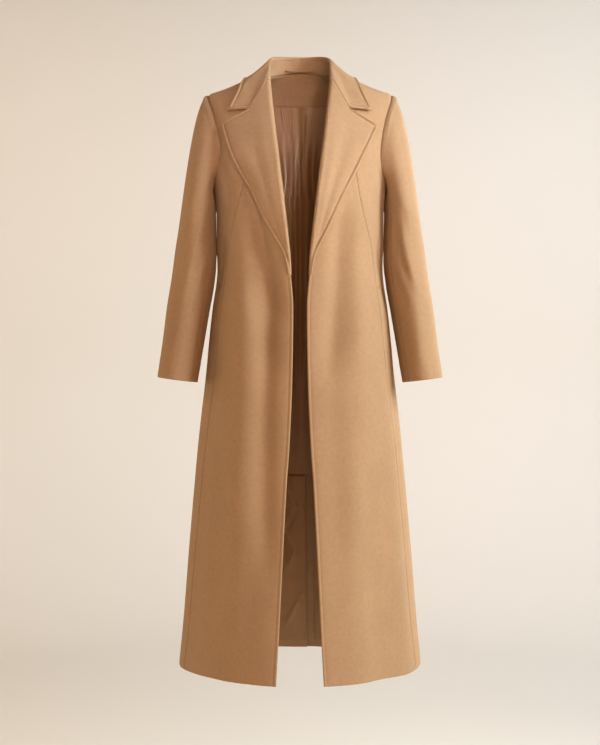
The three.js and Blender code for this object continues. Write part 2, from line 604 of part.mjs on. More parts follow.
// A point of the sleeve: up is 0 at the cuff, 1 at the first ring below the cap and 2 at the armhole.
function onSleeve(turn, up) {
  if (up <= 1) return onRing(turn, lerp(CUFF, CAP_BOTTOM, up));
  const hole = armhole(turn);
  const bodyNormal = formNormal(hole.angle, hole.z);
  const start = onForm(hole.angle, hole.z).addScaledVector(bodyNormal, CAP_LIFT);
  const end = onRing(turn, CAP_BOTTOM);
  const low = (1 - Math.cos(turn * RAD)) / 2;
  const away = bodyNormal.clone().multiplyScalar(0.5).add(new THREE.Vector3(0.8, 0, 0)).normalize();
  const first = start.clone().addScaledVector(away, lerp(CAP_HANDLE.top, CAP_HANDLE.bottom, low));
  const second = end.clone().addScaledVector(SLEEVE_HANG, -0.55 * start.distanceTo(end));
  return new THREE.CubicBezierCurve3(start, first, second, end).getPoint(2 - up);
}

const SLEEVE_UPS = [0, 0.24, 0.44, 0.6, 0.74, 0.87, 1, 1.16, 1.32, 1.48, 1.64, 1.78, 1.9, 2];
const SEAM_TURN = SEAM / 2; // degrees round the sleeve that make half a seam, near its middle
for (const [side, mirrored] of [["left", false], ["right", true]])
  for (const [name, from, to, cells] of [
    ["top", SLEEVE_FRONT_SEAM - SEAM_TURN, SLEEVE_BACK_SEAM - 360 + SEAM_TURN, 14],
    ["under", SLEEVE_BACK_SEAM - SEAM_TURN, SLEEVE_FRONT_SEAM + SEAM_TURN, 6],
  ]) {
    const grid = surfaceGrid((share, up) => onSleeve(lerp(from, to, share), up), shares(cells), SLEEVE_UPS);
    add(`sleeve_${name}_${side}`, wall(grid, 0, CLOTH, mirrored), wool);
  }

export default coat;
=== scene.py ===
"""A long open-front wool coat, filled out as it hangs on a wearer, with no wearer in it.

Sizes are in millimetres until a mesh is made, which is in metres. +Z is up, the coat faces -Y, and +X is
the wearer's left. A place on the body form is an angle round it in degrees (0 at centre front, 90 at the
wearer's left side, 180 at centre back, negative on the wearer's right) and a height.
"""

import math

import bpy
import numpy as np
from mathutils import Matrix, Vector


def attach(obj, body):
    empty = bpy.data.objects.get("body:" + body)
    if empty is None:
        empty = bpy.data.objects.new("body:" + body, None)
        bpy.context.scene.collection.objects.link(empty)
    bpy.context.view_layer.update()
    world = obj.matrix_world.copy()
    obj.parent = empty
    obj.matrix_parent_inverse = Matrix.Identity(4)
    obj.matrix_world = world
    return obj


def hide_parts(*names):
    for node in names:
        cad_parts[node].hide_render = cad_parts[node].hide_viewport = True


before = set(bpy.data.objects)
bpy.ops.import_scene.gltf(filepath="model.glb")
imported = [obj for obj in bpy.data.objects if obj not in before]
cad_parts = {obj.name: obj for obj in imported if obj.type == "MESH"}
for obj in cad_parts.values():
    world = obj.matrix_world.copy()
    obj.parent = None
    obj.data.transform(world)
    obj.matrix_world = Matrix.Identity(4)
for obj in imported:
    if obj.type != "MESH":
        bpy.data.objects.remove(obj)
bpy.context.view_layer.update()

bl_info = {
    "name": "Long Wool Coat",
    "version": (1, 0, 0),
    "blender": (4, 5, 0),
    "location": "3D View > Sidebar > Coat",
    "description": "Makes a long tailored wool coat, piece by piece, with its lining and stitching",
    "category": "Add Mesh",
}

MM = 0.001

# ---- Driving sizes ----
CLOTH = 2.4  # thickness
LINING = 1.0
SEAM = 0.08  # gap between two pieces that are sewn together
HEM = -1202  # heights, as far as VENT_TOP
WAIST = -345
UNDERARM = -215
SHOULDER_POINT = -9
NECK_POINT = 35
BREAK = -402  # where the lapel starts to turn out
VENT_TOP = -815
VENT_UNDERLAP = 14  # how far the underlap reaches past centre back
UNDERLAP_TOP = VENT_TOP - 1.5
VENT_DEPTH = CLOTH + 2.5  # how far the underlap lies below the other side
VENT_TURN = (166, 177)  # angles between which the underlap's side sinks that far
SIDE_SEAM = 97  # angle
BACK_RISE = 20  # how much higher the neck is at centre back
RISE_FROM = -70  # height where that rise starts
SHOULDER_DIP = 4.8  # how far the cloth lies below the form's round shoulder
DIP_STARTS = (112, 160)  # distances from the middle plane between which the dip comes in
DIP_ENDS = (172, 194)
DIP_HEIGHTS = (-60, 0)

# Body form: height, half width, depth in front, depth behind, power of the superellipse.
SECTIONS = (
    (HEM, 255, 207, 143, 1.85),
    (-1093, 245, 200, 139, 1.9),
    (-965, 235, 192, 134, 1.95),
    (-840, 224, 184, 128, 2.05),
    (-715, 212, 175, 122, 2.1),
    (-590, 197, 165, 115, 2.15),
    (-525, 191, 158, 109, 2.2),
    (-460, 184, 150, 101, 2.2),
    (-400, 175, 143, 94, 2.2),
    (WAIST, 169, 141, 94, 2.2),
    (-262, 169, 149, 105, 2.3),
    (-200, 177, 137, 112, 2.4),
    (-150, 190, 120, 113, 2.4),
    (-100, 197, 101, 109, 2.4),
    (-60, 198, 85, 103, 2.4),
    (-30, 197, 72, 96, 2.4),
    (-10, 192, 62, 90, 2.35),
    (0, 180, 56, 86, 2.3),
    (10, 152, 49, 82, 2.25),
    (20, 123, 40, 77, 2.2),
    (28, 99, 31, 72, 2.15),
    (NECK_POINT, 77, 24, 67, 2.1),
)
# Front edge: height, distance from the middle plane.
FRONT_EDGE = (
    (HEM, 46.5),
    (-1141, 43),
    (-803, 25.5),
    (-740, 21),
    (-611, 15.5),
    (-465, 13.5),
    (BREAK, 18),
    (-340, 26),
    (-262, 36),
    (-170, 48),
    (-69, 60),
    (5, 68),
    (NECK_POINT, 71),
)
# Seam between front and side front: height, share of the form's half width.
PRINCESS_SEAM = (
    (HEM, 0.93),
    (-689, 0.9),
    (-520, 0.885),
    (-357, 0.87),
    (-287, 0.78),
    (-213, 0.67),
    (-120, 0.51),
    (-40, 0.44),
    (5, 0.49),
    (NECK_POINT, 0.97),
)
# Outer edge of the lapel: height, distance from the middle plane.
LAPEL_EDGE = (
    (BREAK, 21),
    (-380, 25),
    (-355, 32),
    (-311, 53),
    (-251, 81),
    (-193, 109),
    (-131, 138),
    (-85, 159),
)
GORGE_TOP = (68, 5)  # distance from the middle plane, height
NOTCH = (101, -54)
LAPEL_POINT = (159, -85)
COLLAR_POINT = (146, -57)
NOTCH_SHARE = 3 / 7  # of the way from the gorge to the lapel's point
LAPEL_START = 0.012  # share of its height at which the lapel's cloth starts
LAPEL_REST = 0.9 + CLOTH / 2  # from the form to the middle of the cloth
LAPEL_ROLL = ((BREAK, 2.2), (-340, 3.6), (-262, 5), (-120, 6), (5, 6))  # height, radius of the roll
ROLL_GAP = 0.7
GORGE_GAP = 0.5
COLLAR_REST = 2 + CLOTH / 2
LAPEL_LIFT = 2.2  # how far the free edges of lapel and collar stand off the chest
COLLAR_LIFT = 0.8
COLLAR_POINT_LIFT = 4.5
FREE_PART = (1.5, 2)  # from halfway over the chest to the free edge
LAPEL_FOOT = 0.15  # share of its height over which the lapel runs into the front edge
FOOT_IN = 4.6
FOOT_ASIDE = 3.6
RIGHT_POINT_RISE = 5  # the wearer's right lapel lies a little flatter and wider
RIGHT_BOW = 12
LAPEL_BEND = 0.6
LAPEL_RISE = (0.1, 0.5)  # shares of its height over which the free edge comes to stand off
LAPEL_OUT = (0.3, -0.95, 0.05)  # the way the free edges stand off, on the wearer's left
COLLAR_OUT = (0.3, -0.9, 0.3)
COLLAR_PULL = (0.7, 1)  # how far round the neck the collar is drawn to the gorge
COLLAR_POINT_FROM = (0.75, 1)
OVER_CURVE = 1.6
# Collar's fold: round (0 at centre back, 1 at the gorge), x, y, z.
COLLAR_FOLD = (
    (0, 0, 62.5, 86.5),
    (0.2, 37, 53, 86),
    (0.4, 57, 30, 79.5),
    (0.55, 64, 6, 69),
    (0.7, 65, -15, 55),
    (0.85, 66, -42, 33),
    (1, 67.5, -57, 11),
)
NECK_SEAM = 0.9  # gap at the neck seam
CORNER_EASE = 2  # more of it where the neck turns down to the gorge
NECK_CORNER = 0.7  # how far round the neck that is
CORNER_REACH = (0.05, 0.15)
CORNER_BLEND = (NECK_CORNER - 0.1, NECK_CORNER + 0.05)
SHOULDER_ROUND = 0.55  # how far round the fall's edge passes over the shoulder
FALL_BACK = 6  # heights of the fall's edge
FALL_SHOULDER = 22.5
STAND_BACK = 0.6  # share of the rise to the fold that belongs to the stand
STAND_GORGE = 0.25
STAND_HANDLES = (0.45, 0.35)  # how stiffly the stand rises and the fall drops
FALL_HANDLES = (0.1, 0.5)

NECK_EASE = 0.8  # how far inside the cloth the lining lies
LINING_EASE = 3.2
SKIRT_EASE = 2.9
FACING_TOP = NECK_POINT + 0.4
FACING_LOW_BACK = -21  # heights of the facing's lower edge
FACING_LOW_SIDE = 6
INSIDE_INSET = 2  # degrees from the back's seams
PLEAT_PLACE = 0.985
PLEAT_WIDTH = 0.014
PLEAT_HEIGHT = 3
PLEAT_FADE = (-260, -60)
GATHER_COUNT = 5
GATHER_FROM = 1.04
GATHER_TO = 1.125
GATHER_HEIGHT = 1.6
GATHER_FADE = (-85, -30)
VENT_STEP = 7.5
STEP_FADE = (VENT_TOP, VENT_TOP + 170)
STEP_EDGE = (0.12, 0.4)
VENT_FACING = 28
LINING_HEM = HEM + 17
SKIRT_TOP = VENT_TOP - 6
SKIRT_FLAT = 60  # height above the lining's hem over which its creases come in
SKIRT_INSET = 2  # how far the lining stays inside the underlap
LINING_SPREAD = 75  # degrees of LINING_CREASES from centre back to the lining's edge
LOOP_HALF = 31
LOOP_WIDTH = 4
LOOP_THICK = 2
LOOP_AT = (0.05, 176)  # how far up the stand, and half the neck's way round
LOOP_OFF = 4.2  # from the stand to the ends of the loop
LOOP_BOW = 3.5
LOOP_HEIGHT = 58.4
LOOP_SAG = 0.7
LOOP_TILT = 0.5

# Sleeve: height of a ring's middle, outer side, inner side, half depth, middle from front to back.
SLEEVE_RINGS = (
    (-252, 249, 177, 77, -5),
    (-300, 256, 176, 75, -3),
    (-345, 263, 175, 73, -3),
    (-400, 270, 180, 70, -6),
    (-460, 279, 190, 67, -13),
    (-525, 286, 200, 63, -23),
    (-607, 296, 213, 58, -37),
)
SLEEVE_TILT = math.radians(7.5)
SLEEVE_FRONT_SEAM = 140
SLEEVE_BACK_SEAM = 236
CAP_LIFT = 0.5
CAP_TOP = 22  # how far the sleeve head stands out from the armhole
CAP_BOTTOM = 6
CAP_HANDLE = 0.55
CAP_AWAY = (0.8, 0, 0)  # with half the armhole's normal, the way the sleeve head stands out
HEAD_RISE = 1.5  # the ridge that the seam's allowances make in the sleeve head
HEAD_AT = 10
HEAD_WIDTH = 5
HEAD_FADE = (-0.1, 0.6)  # cosines of the turn from the shoulder

# Soft folds on both sides: top, bottom, angle at the top, angle at the bottom, width, how far out.
FOLDS = (
    (-200, -640, 36, 13, 11, -7),
    (-230, -1000, 47, 32, 13, 4),
    (-560, -1500, 46, 48, 9, -4),
    (-480, -1500, 60, 64, 9, 2),
    (-560, -1500, 84, 82, 9, -1.5),
    (-520, -1500, 122, 126, 13, -7),
    (-480, -1500, 146, 150, 12, 5),
    (-140, -395, 88, 90, 24, 5.4),
    (-190, -415, 88, 90, 22, 1.2),
)
# Creases of one side only, with the same columns.
CREASES = (
    (-150, -520, -39, -11, 6.5, -10.5),
    (-330, -1050, -19, -17, 5.5, -8.0),
    (-170, -560, -52, -27, 7, 4.8),
    (-380, -1150, -31, -32, 7.5, 4.4),
    (-60, -290, -58, -53, 6, -5.0),
    (-90, -330, -70, -66, 7, 1.8),
    (-420, -1350, -60, -62, 7, -4.4),
    (-560, -1300, -75, -77, 6, 2.6),
    (-780, -1500, -27, -25, 6, -1.6),
    (-1010, -1400, -33.5, -34, 1.6, -0.7),
    (-180, -640, 31, 15, 6, -3.8),
    (-200, -620, 45, 30, 7, 2.6),
    (-400, -1050, 17, 19, 7, -2.2),
    (-70, -280, 62, 57, 7, -2.8),
    (-420, -760, 37, 34, 6, 1.2),
    (-640, -1350, 37, 41, 6, -3.8),
    (-560, -1300, 26, 28, 7, 2.2),
    (-760, -1500, 54, 58, 7, 2.8),
    (-480, -1250, 66, 68, 6, -2.2),
    (-300, -480, 66, 78, 5, -2.6),
    (-300, -450, -62, -75, 5, -2.8),
    (-330, -540, 114, 100, 6, -3.6),
    (-350, -500, -118, -104, 5, -3.0),
    (-250, -420, 152, 126, 6, -3.4),
    (-270, -450, -156, -128, 7, -3.8),
    (-120, -270, 118, 130, 7, -3.6),
    (-130, -290, -121, -134, 6, -3.2),
    (-80, -240, 150, 160, 9, -2.2),
    (-620, -1500, 104, 108, 6, 3.6),
    (-580, -1500, -108, -113, 7, 4.2),
    (-700, -1500, 136, 140, 6, -3.4),
    (-660, -1500, -139, -143, 7, -3.0),
    (-820, -1500, 163, 166, 5, -2.8),
    (-760, -1500, -160, -158, 6, -2.4),
    (-520, -980, 170, 165, 6, 2.4),
    (-560, -1050, -171, -164, 7, 2.8),
)
# Soft bends of the lapels: top, bottom, place from the roll (0) to the edge (100) at both, width, out.
LAPEL_CREASES = (
    (-20, -330, 18, 30, 14, 1.6),
    (-60, -360, 46, 52, 12, -1.3),
    (-90, -300, 74, 70, 13, 0.8),
)
# Creases on the sleeves: side, top, bottom, turn at the top, turn at the bottom, width in degrees, out.
SLEEVE_CREASES = (
    (1, -262, -420, 128, 92, 13, -4.3),
    (1, -285, -445, 112, 70, 12, 2.4),
    (1, -350, -470, 138, 108, 11, -2.4),
    (1, -240, -330, 100, 78, 12, -1.6),
    (1, -430, -590, 84, 96, 14, 1.4),
    (1, -330, -400, 190, 232, 16, -2.7),
    (1, -385, -455, 196, 240, 15, -2.0),
    (1, -300, -520, 296, 282, 18, 1.6),
    (-1, -270, -410, 132, 96, 13, -3.8),
    (-1, -300, -450, 108, 74, 13, 2.2),
    (-1, -365, -480, 140, 112, 12, -2.2),
    (-1, -330, -520, 60, 66, 16, -1.2),
    (-1, -340, -410, 186, 228, 15, -2.4),
    (-1, -395, -470, 200, 244, 16, -1.8),
    (-1, -290, -500, 300, 288, 20, 1.8),
)


# ---- Interpolation ----
def lerp(a, b, t):
    return a + (b - a) * t


def smoothstep(a, b, v):
    t = np.clip((v - a) / (b - a), 0, 1)
    return t * t * (3 - 2 * t)


def bell(v, width):
    return np.exp(-((v / width) ** 2))


def norm(v):
    return np.linalg.norm(v, axis=-1)


def unit(v):
    return v / np.maximum(norm(v), 1e-9)[..., None]


def vec(x, y, z):
    return np.stack(np.broadcast_arrays(x, y, z), axis=-1).astype(float)


def column(table, key):
    """A smooth curve through one column of a table, which never overshoots its rows."""
    rows = sorted(table)
    at = np.array([row[0] for row in rows], float)
    value = np.array([row[key] for row in rows], float)
    steps = np.diff(value) / np.diff(at)
    before, after = steps[:-1], steps[1:]
    total = np.where(before + after == 0, 1, before + after)
    inner = np.where(before * after <= 0, 0, 2 * before * after / total)
    slopes = np.concatenate([steps[:1], inner, steps[-1:]])

    def read(x):
        x = np.asarray(x, float)
        i = np.clip(np.searchsorted(at, x, side="right") - 1, 0, len(at) - 2)
        width = at[i + 1] - at[i]
        t = (x - at[i]) / width
        inside = (
            value[i] * (1 + 2 * t) * (1 - t) ** 2
            + slopes[i] * width * t * (1 - t) ** 2
            + value[i + 1] * t * t * (3 - 2 * t)
            + slopes[i + 1] * width * t * t * (t - 1)
        )
        low = value[0] + slopes[0] * (x - at[0])
        high = value[-1] + slopes[-1] * (x - at[-1])
        return np.where(x < at[0], low, np.where(x > at[-1], high, inside))

    return read


half, front, back, squareness = (column(SECTIONS, key) for key in (1, 2, 3, 4))
front_edge = column(FRONT_EDGE, 1)
princess_share = column(PRINCESS_SEAM, 1)
lapel_edge = column(LAPEL_EDGE, 1)
lapel_roll = column(LAPEL_ROLL, 1)
fold_x, fold_y, fold_z = (column(COLLAR_FOLD, key) for key in (1, 2, 3))
ring_outer, ring_inner, ring_depth, ring_middle = (column(SLEEVE_RINGS, key) for key in (1, 2, 3, 4))


# ---- The body form ----
OVERRUN = 0.2  # how far a curve is followed past its start
FOLD_FADES = ((0, 0.3), (0.75, 1))  # shares of its length over which a fold comes and goes
ANGLE_STEP = 0.4
HEIGHT_STEP = 1.5


def ridges(rows, place, z):
    """The sum of a table's folds at a place, each like a bell across and fading at both ends."""
    total = 0
    for top, bottom, top_angle, bottom_angle, width, out in rows:
        along = np.clip((z - top) / (bottom - top), 0, 1)
        away = (place - lerp(top_angle, bottom_angle, along) + 180) % 360 - 180
        length = smoothstep(*FOLD_FADES[0], along) * (1 - smoothstep(*FOLD_FADES[1], along))
        total = total + out * length * bell(away, width)
    return total


def shoulder_dip(x, z):
    over = smoothstep(*DIP_STARTS, x) * (1 - smoothstep(*DIP_ENDS, x))
    return SHOULDER_DIP * over * smoothstep(*DIP_HEIGHTS, z)


def on_form(angle, z):
    """The point of the form at an angle and height."""
    turned = (np.asarray(angle, float) + 180) % 360 - 180
    turn = np.radians(turned)
    power = 2 / squareness(z)
    sine, cosine = np.sin(turn), np.cos(turn)
    depth = np.where(cosine > 0, -front(z), back(z))
    rise = BACK_RISE * np.maximum(0, -cosine) ** 2 * smoothstep(RISE_FROM, NECK_POINT, z)
    across = np.sign(sine) * np.abs(sine) ** power
    along = np.abs(cosine) ** power
    out = ridges(FOLDS, np.abs(turned), z) + ridges(CREASES, turned, z)
    x = (half(z) + out) * across
    return vec(x, (depth + np.sign(depth) * out) * along, z + rise - shoulder_dip(np.abs(x), z))


def along_form(angle, z):
    return on_form(angle + ANGLE_STEP, z) - on_form(angle - ANGLE_STEP, z)


def form_normal(angle, z):
    up = on_form(angle, z + HEIGHT_STEP) - on_form(angle, z - HEIGHT_STEP)
    return unit(np.cross(along_form(angle, z), up))


def flip(side):
    """What takes a point of one side to the wearer's left, and back."""
    return np.array([side, 1, 1])


def on_side(angle, z, side):
    """The form's point and normal on one side, as they would be on the wearer's left."""
    return on_form(side * angle, z) * flip(side), form_normal(side * angle, z) * flip(side)


def angle_at(x, z):
    return np.degrees(np.arcsin(np.clip(x / half(z), 0, 1) ** (squareness(z) / 2)))


def princess(z):
    return angle_at(princess_share(z) * half(z), z)


def degrees_for(distance, angle, z):
    """Degrees of the form's angle that make a given distance along its section."""
    return distance * 2 * ANGLE_STEP / norm(along_form(angle, z))


ARMHOLE_MIDDLE = (SHOULDER_POINT + UNDERARM) / 2
ARMHOLE_HALF = (SHOULDER_POINT - UNDERARM) / 2
ARMHOLE_WIDTHS = (35, 33)  # degrees before and behind the side
ARMHOLE_SLANT = 0.12
UNDER_SLEEVE = 2.6  # how far the panels run on under the sleeve, and the same in degrees
UNDER_SLEEVE_TURN = 0.8


def armhole(turn):
    """Angle and height of the armhole; turn is 0 at the shoulder point and runs forwards, in degrees."""
    cosine, sine = np.cos(np.radians(turn)), np.sin(np.radians(turn))
    low = (1 - cosine) / 2
    width = np.where(sine > 0, *ARMHOLE_WIDTHS)
    angle = 90 + (SIDE_SEAM - 90) * low**2 - width * sine * (1 - ARMHOLE_SLANT * cosine)
    return angle, ARMHOLE_MIDDLE + ARMHOLE_HALF * cosine


def outer_boundary(z, forwards):
    """The side seam, then the edge that runs on a little under the sleeve, then the shoulder seam."""
    turn = np.degrees(np.arccos(np.clip((z - ARMHOLE_MIDDLE) / (ARMHOLE_HALF - UNDER_SLEEVE), -1, 1)))
    way = 1 if forwards else -1
    hole = armhole(way * turn)[0] + way * UNDER_SLEEVE_TURN
    top, bottom = SHOULDER_POINT - UNDER_SLEEVE, UNDERARM + UNDER_SLEEVE
    return np.where(z >= top, 90, np.where(z <= bottom, SIDE_SEAM, hole))


def inset(angle, z, way):
    return angle + way * degrees_for(SEAM / 2, angle, z)


def front_from(z):
    return angle_at(front_edge(z), z)


def front_to(z):
    return inset(princess(z), z, -1)


def side_from(z):
    return inset(princess(z), z, 1)


def side_to(z):
    return inset(outer_boundary(z, True), z, -1)


def back_from(z):
    return inset(outer_boundary(z, False), z, 1)


def back_to(z):
    return inset(180, z, -1)


def underlap_to(z):
    below = 180 + degrees_for(VENT_UNDERLAP, 180, z)
    return np.where(z < UNDERLAP_TOP, below, back_to(z))


# ---- Lapel, collar, sleeve ----
def out_from(x, z, out, side):
    """A point out from the form where it stands x from the middle plane at a height, in front."""
    angle = side * angle_at(x, z)
    return on_form(angle, z) + form_normal(angle, z) * out[..., None]


def turned_out(part, z, tip_x, tip_z, pull, side):
    """The cloth turned out over the chest, on its middle surface. From 0 to 1, part runs round the roll,
    and from 1 to 2 over the chest to the row's tip. pull is how far the row bends to the notch."""
    part, z, tip_x, tip_z, pull = np.broadcast_arrays(part, z, tip_x, tip_z, pull)
    x = front_edge(z) - ROLL_GAP
    radius = lapel_roll(z)
    turn = (np.clip(part, -1, 1) - 0.5) * math.pi
    roll = out_from(x - radius * np.cos(turn), z, radius * (1 + np.sin(turn)) - CLOTH / 2, side)
    across = np.maximum(part - 1, 0)
    share = np.where(across < NOTCH_SHARE, across / NOTCH_SHARE, (1 - across) / (1 - NOTCH_SHARE))
    bend = pull * share
    notch_x = NOTCH[0] - lerp(GORGE_TOP[0], tip_x, NOTCH_SHARE)
    notch_z = NOTCH[1] - lerp(GORGE_TOP[1], tip_z, NOTCH_SHARE)
    top = 2 * radius - CLOTH / 2
    out = LAPEL_REST + (top - LAPEL_REST) * np.maximum(0, 1 - across) ** OVER_CURVE
    over_x = lerp(x, tip_x, across) + bend * notch_x
    over_z = lerp(z, tip_z, across) + bend * notch_z
    over = out_from(over_x, over_z, out, side)
    return np.where((part <= 1)[..., None], roll, over)


def on_lapel(part, up, side):
    spread = 1 if side < 0 else 0
    tip_z = lerp(BREAK, LAPEL_POINT[1] + RIGHT_POINT_RISE * spread, up)
    bow = RIGHT_BOW * spread * np.sin(np.pi * up**OVER_CURVE)
    point = turned_out(part, lerp(BREAK, GORGE_TOP[1], up), lapel_edge(tip_z) + bow, tip_z, up**4, side)
    lift = LAPEL_LIFT * smoothstep(*FREE_PART, part) * smoothstep(*LAPEL_RISE, up)
    bend = LAPEL_BEND * ridges(LAPEL_CREASES, 100 * (np.asarray(part, float) - 1), point[..., 2])
    foot = 1 - smoothstep(0, LAPEL_FOOT, up)
    out = lift + bend - FOOT_IN * foot
    aside, ahead, above = (way * out for way in LAPEL_OUT)
    return point + vec(side * (aside + FOOT_ASIDE * foot), ahead, above)


def neck_seam(turn):
    """The middle of the cloth where the neck seam joins the stand to the body, on the wearer's left."""
    z = lerp(NECK_POINT, GORGE_TOP[1], np.clip((turn - NECK_CORNER) / (1 - NECK_CORNER), 0, 1))
    angle = lerp(180, front_from(z), np.clip(turn / NECK_CORNER, 0, 1))
    seam = on_form(angle, z)
    up = unit(seam - on_form(angle, z - 1))
    inward = unit(on_form(angle - 0.5, z) - seam)
    blend = smoothstep(*CORNER_BLEND, turn)[..., None]
    away = unit(lerp(up, inward, blend))
    outward = unit(vec(seam[..., 0], seam[..., 1] - 15, 0))
    corner = 1 - smoothstep(*CORNER_REACH, np.abs(turn - NECK_CORNER))
    lean = np.maximum(0, -np.sum(outward * away, axis=-1))
    gap = NECK_SEAM + CLOTH / 2 * lean + CORNER_EASE * corner
    return seam - form_normal(angle, z) * CLOTH / 2 + away * gap[..., None]


def fall_edge(turn, side):
    """The outer edge of the collar's fall and the form's normal there, on the wearer's left."""
    before = np.clip(turn / SHOULDER_ROUND, 0, 1)
    after = np.clip((turn - SHOULDER_ROUND) / (1 - SHOULDER_ROUND), 0, 1)
    z = lerp(lerp(FALL_BACK, FALL_SHOULDER, before), COLLAR_POINT[1], after)
    x = lerp(half(FALL_SHOULDER), COLLAR_POINT[0], after)
    angle = np.where(after > 0, angle_at(x, z), lerp(180, 90, before))
    point, normal = on_side(angle, z, side)
    return point + normal * COLLAR_REST, normal


def bezier(a, b, c, d, t):
    t = t[..., None]
    return a * (1 - t) ** 3 + 3 * b * t * (1 - t) ** 2 + 3 * c * t * t * (1 - t) + d * t**3


def free_collar(part, turn, side):
    """A point of the collar on the wearer's left: 0 to 1 of part rises to the fold, 1 to 2 falls from it."""
    part, turn = np.broadcast_arrays(part, turn)
    fold = vec(fold_x(turn), fold_y(turn), fold_z(turn))
    edge, normal = fall_edge(turn, side)
    over = unit((edge - fold) * np.array([1, 1, 0.3]))
    seam = neck_seam(turn)
    rise = norm(seam - fold)[..., None]
    above = seam + rise * np.array([0, 0, STAND_HANDLES[0]])
    stand = bezier(seam, above, fold - over * STAND_HANDLES[1] * rise, fold, np.clip(part, -OVERRUN, 1))
    drop = fold - edge
    fall = norm(drop)[..., None]
    upslope = unit(drop - normal * np.sum(drop * normal, axis=-1, keepdims=True))
    off = fold + over * FALL_HANDLES[0] * fall
    onto = edge + upslope * FALL_HANDLES[1] * fall
    down = bezier(fold, off, onto, edge, np.maximum(part - 1, 0))
    return np.where((part <= 1)[..., None], stand, down)


def raw_collar(part, turn, side):
    corner_x, corner_z = COLLAR_POINT
    gorge = turned_out(part, GORGE_TOP[1], corner_x, corner_z, 1.0, side) * flip(side)
    pull = smoothstep(*COLLAR_PULL, turn)[..., None]
    end = free_collar(part, np.ones_like(turn), side)
    point = free_collar(part, turn, side) + (gorge + np.array([0, 0, GORGE_GAP]) - end) * pull
    most = lerp(COLLAR_LIFT, COLLAR_POINT_LIFT, smoothstep(*COLLAR_POINT_FROM, turn))
    lift = smoothstep(*FREE_PART, part) * most
    return (point + np.array(COLLAR_OUT) * lift[..., None]) * flip(side)


def on_collar(part, round_):
    """The collar, drawn to the gorge, where it meets the lapel. round_ is -1 to 1 across the neck."""
    part, round_ = np.broadcast_arrays(np.asarray(part, float), np.asarray(round_, float))
    turn = np.abs(round_)
    left = raw_collar(part, turn, 1)
    right = raw_collar(part, turn, -1)
    return np.where((round_ >= 0)[..., None], left, right)


def on_ring(turn, z):
    """The point of the sleeve's ring whose middle is at a height, on the wearer's left."""
    half_width = (ring_outer(z) - ring_inner(z)) / 2
    centre = (ring_outer(z) + ring_inner(z)) / 2
    across = half_width * np.cos(np.radians(turn))
    y = ring_middle(z) - ring_depth(z) * np.sin(np.radians(turn))
    return vec(centre + across * math.cos(SLEEVE_TILT), y, z + across * math.sin(SLEEVE_TILT))


CAP_FOOT = SLEEVE_RINGS[0][0]
CUFF = SLEEVE_RINGS[-1][0]
SLEEVE_HANG = np.array([math.sin(SLEEVE_TILT), 0, -math.cos(SLEEVE_TILT)])


def on_sleeve(turn, up, side):
    """A point of the sleeve: up is 0 at the cuff, 1 at the first ring below the cap, 2 at the armhole."""
    turn, up = np.broadcast_arrays(turn, up)
    tube = on_ring(turn, lerp(CUFF, CAP_FOOT, np.minimum(up, 1)))
    point, normal = on_side(*armhole(turn), side)
    start = point + normal * CAP_LIFT
    end = on_ring(turn, CAP_FOOT)
    low = (1 - np.cos(np.radians(turn))) / 2
    away = unit(normal * 0.5 + np.array(CAP_AWAY))
    first = start + away * lerp(CAP_TOP, CAP_BOTTOM, low)[..., None]
    second = end - SLEEVE_HANG * CAP_HANDLE * norm(start - end)[..., None]
    cap = bezier(start, first, second, end, np.clip(2 - up, -OVERRUN, 1))
    return np.where((up <= 1)[..., None], tube, cap) * flip(side)


# ---- Cloth ----
ROUND_EDGE = (0, 0.12, 0.42, 0.8, 1.2)
SEAM_STEPS = ROUND_EDGE + (1.8, 2.6, 4)
PLAIN_STEPS = ROUND_EDGE + (2.2, 4)
SWELL = 6.5  # from a swelled edge to its stitching
SWELL_STEPS = ROUND_EDGE + (2, 3, 4.2, 5.2, 5.9, SWELL, 7.1, 7.9, 9.4)
SWELL_AT = SWELL_STEPS.index(SWELL)
SWELL_RISE = 1.2
GROOVE_DEPTH = 0.75
GROOVE_WIDTH = 1.7
STITCH_SHADE = 0.4  # how much of a seam's shade lies along the stitching
STITCH_WIDTH = 1.3
ALLOWANCE_RISE = 0.22
ALLOWANCE_EDGE = (11, 14)
SEAM_DEPTH = 0.5
SEAM_WIDTH = 2.2
SEAM_SHADE_WIDTH = 1.6
FINE_STEPS = 161  # places at which a row is measured before its points are laid out
FINE_STEP = 0.0015
LEAST_LEAN = 0.3
END_SHARE = 0.46  # most of a row that the close points at one end take up


def steps_up(length, start, end, cell):
    """Shares of a length, close together at its two ends."""
    start, end = np.array(start), np.array(end)
    count = max(2, round((length - start[-1] - end[-1]) / cell))
    middle = np.linspace(start[-1], length - end[-1], count + 1)[1:-1]
    return np.concatenate([start, middle, length - end[::-1]]) / length


def leans(border, inner):
    """The sine of the angle between a border and the rows that end there."""
    along = unit(np.gradient(border, axis=0))
    sine = norm(np.cross(along, unit(inner - border)))
    sine = np.convolve(np.pad(sine, 2, mode="edge"), np.ones(5) / 5, mode="valid")
    return np.clip(sine, LEAST_LEAN, 1)


def places_across(widths, start, end, cell, start_lean, end_lean):
    """For each row, the distances from its start at which its points lie."""
    count = max(2, round((float(np.max(widths)) - start[-1] - end[-1]) / cell))
    rows = []
    for width, lean_a, lean_b in zip(widths, start_lean, end_lean):
        a, b = np.array(start) / lean_a, np.array(end) / lean_b
        squeeze = min(1, END_SHARE * width / a[-1], END_SHARE * width / b[-1])
        a, b = a * squeeze, width - b[::-1] * squeeze
        middle = np.linspace(a[-1], b[0], count + 1)[1:-1]
        rows.append(np.concatenate([a, middle, b]))
    return np.array(rows)


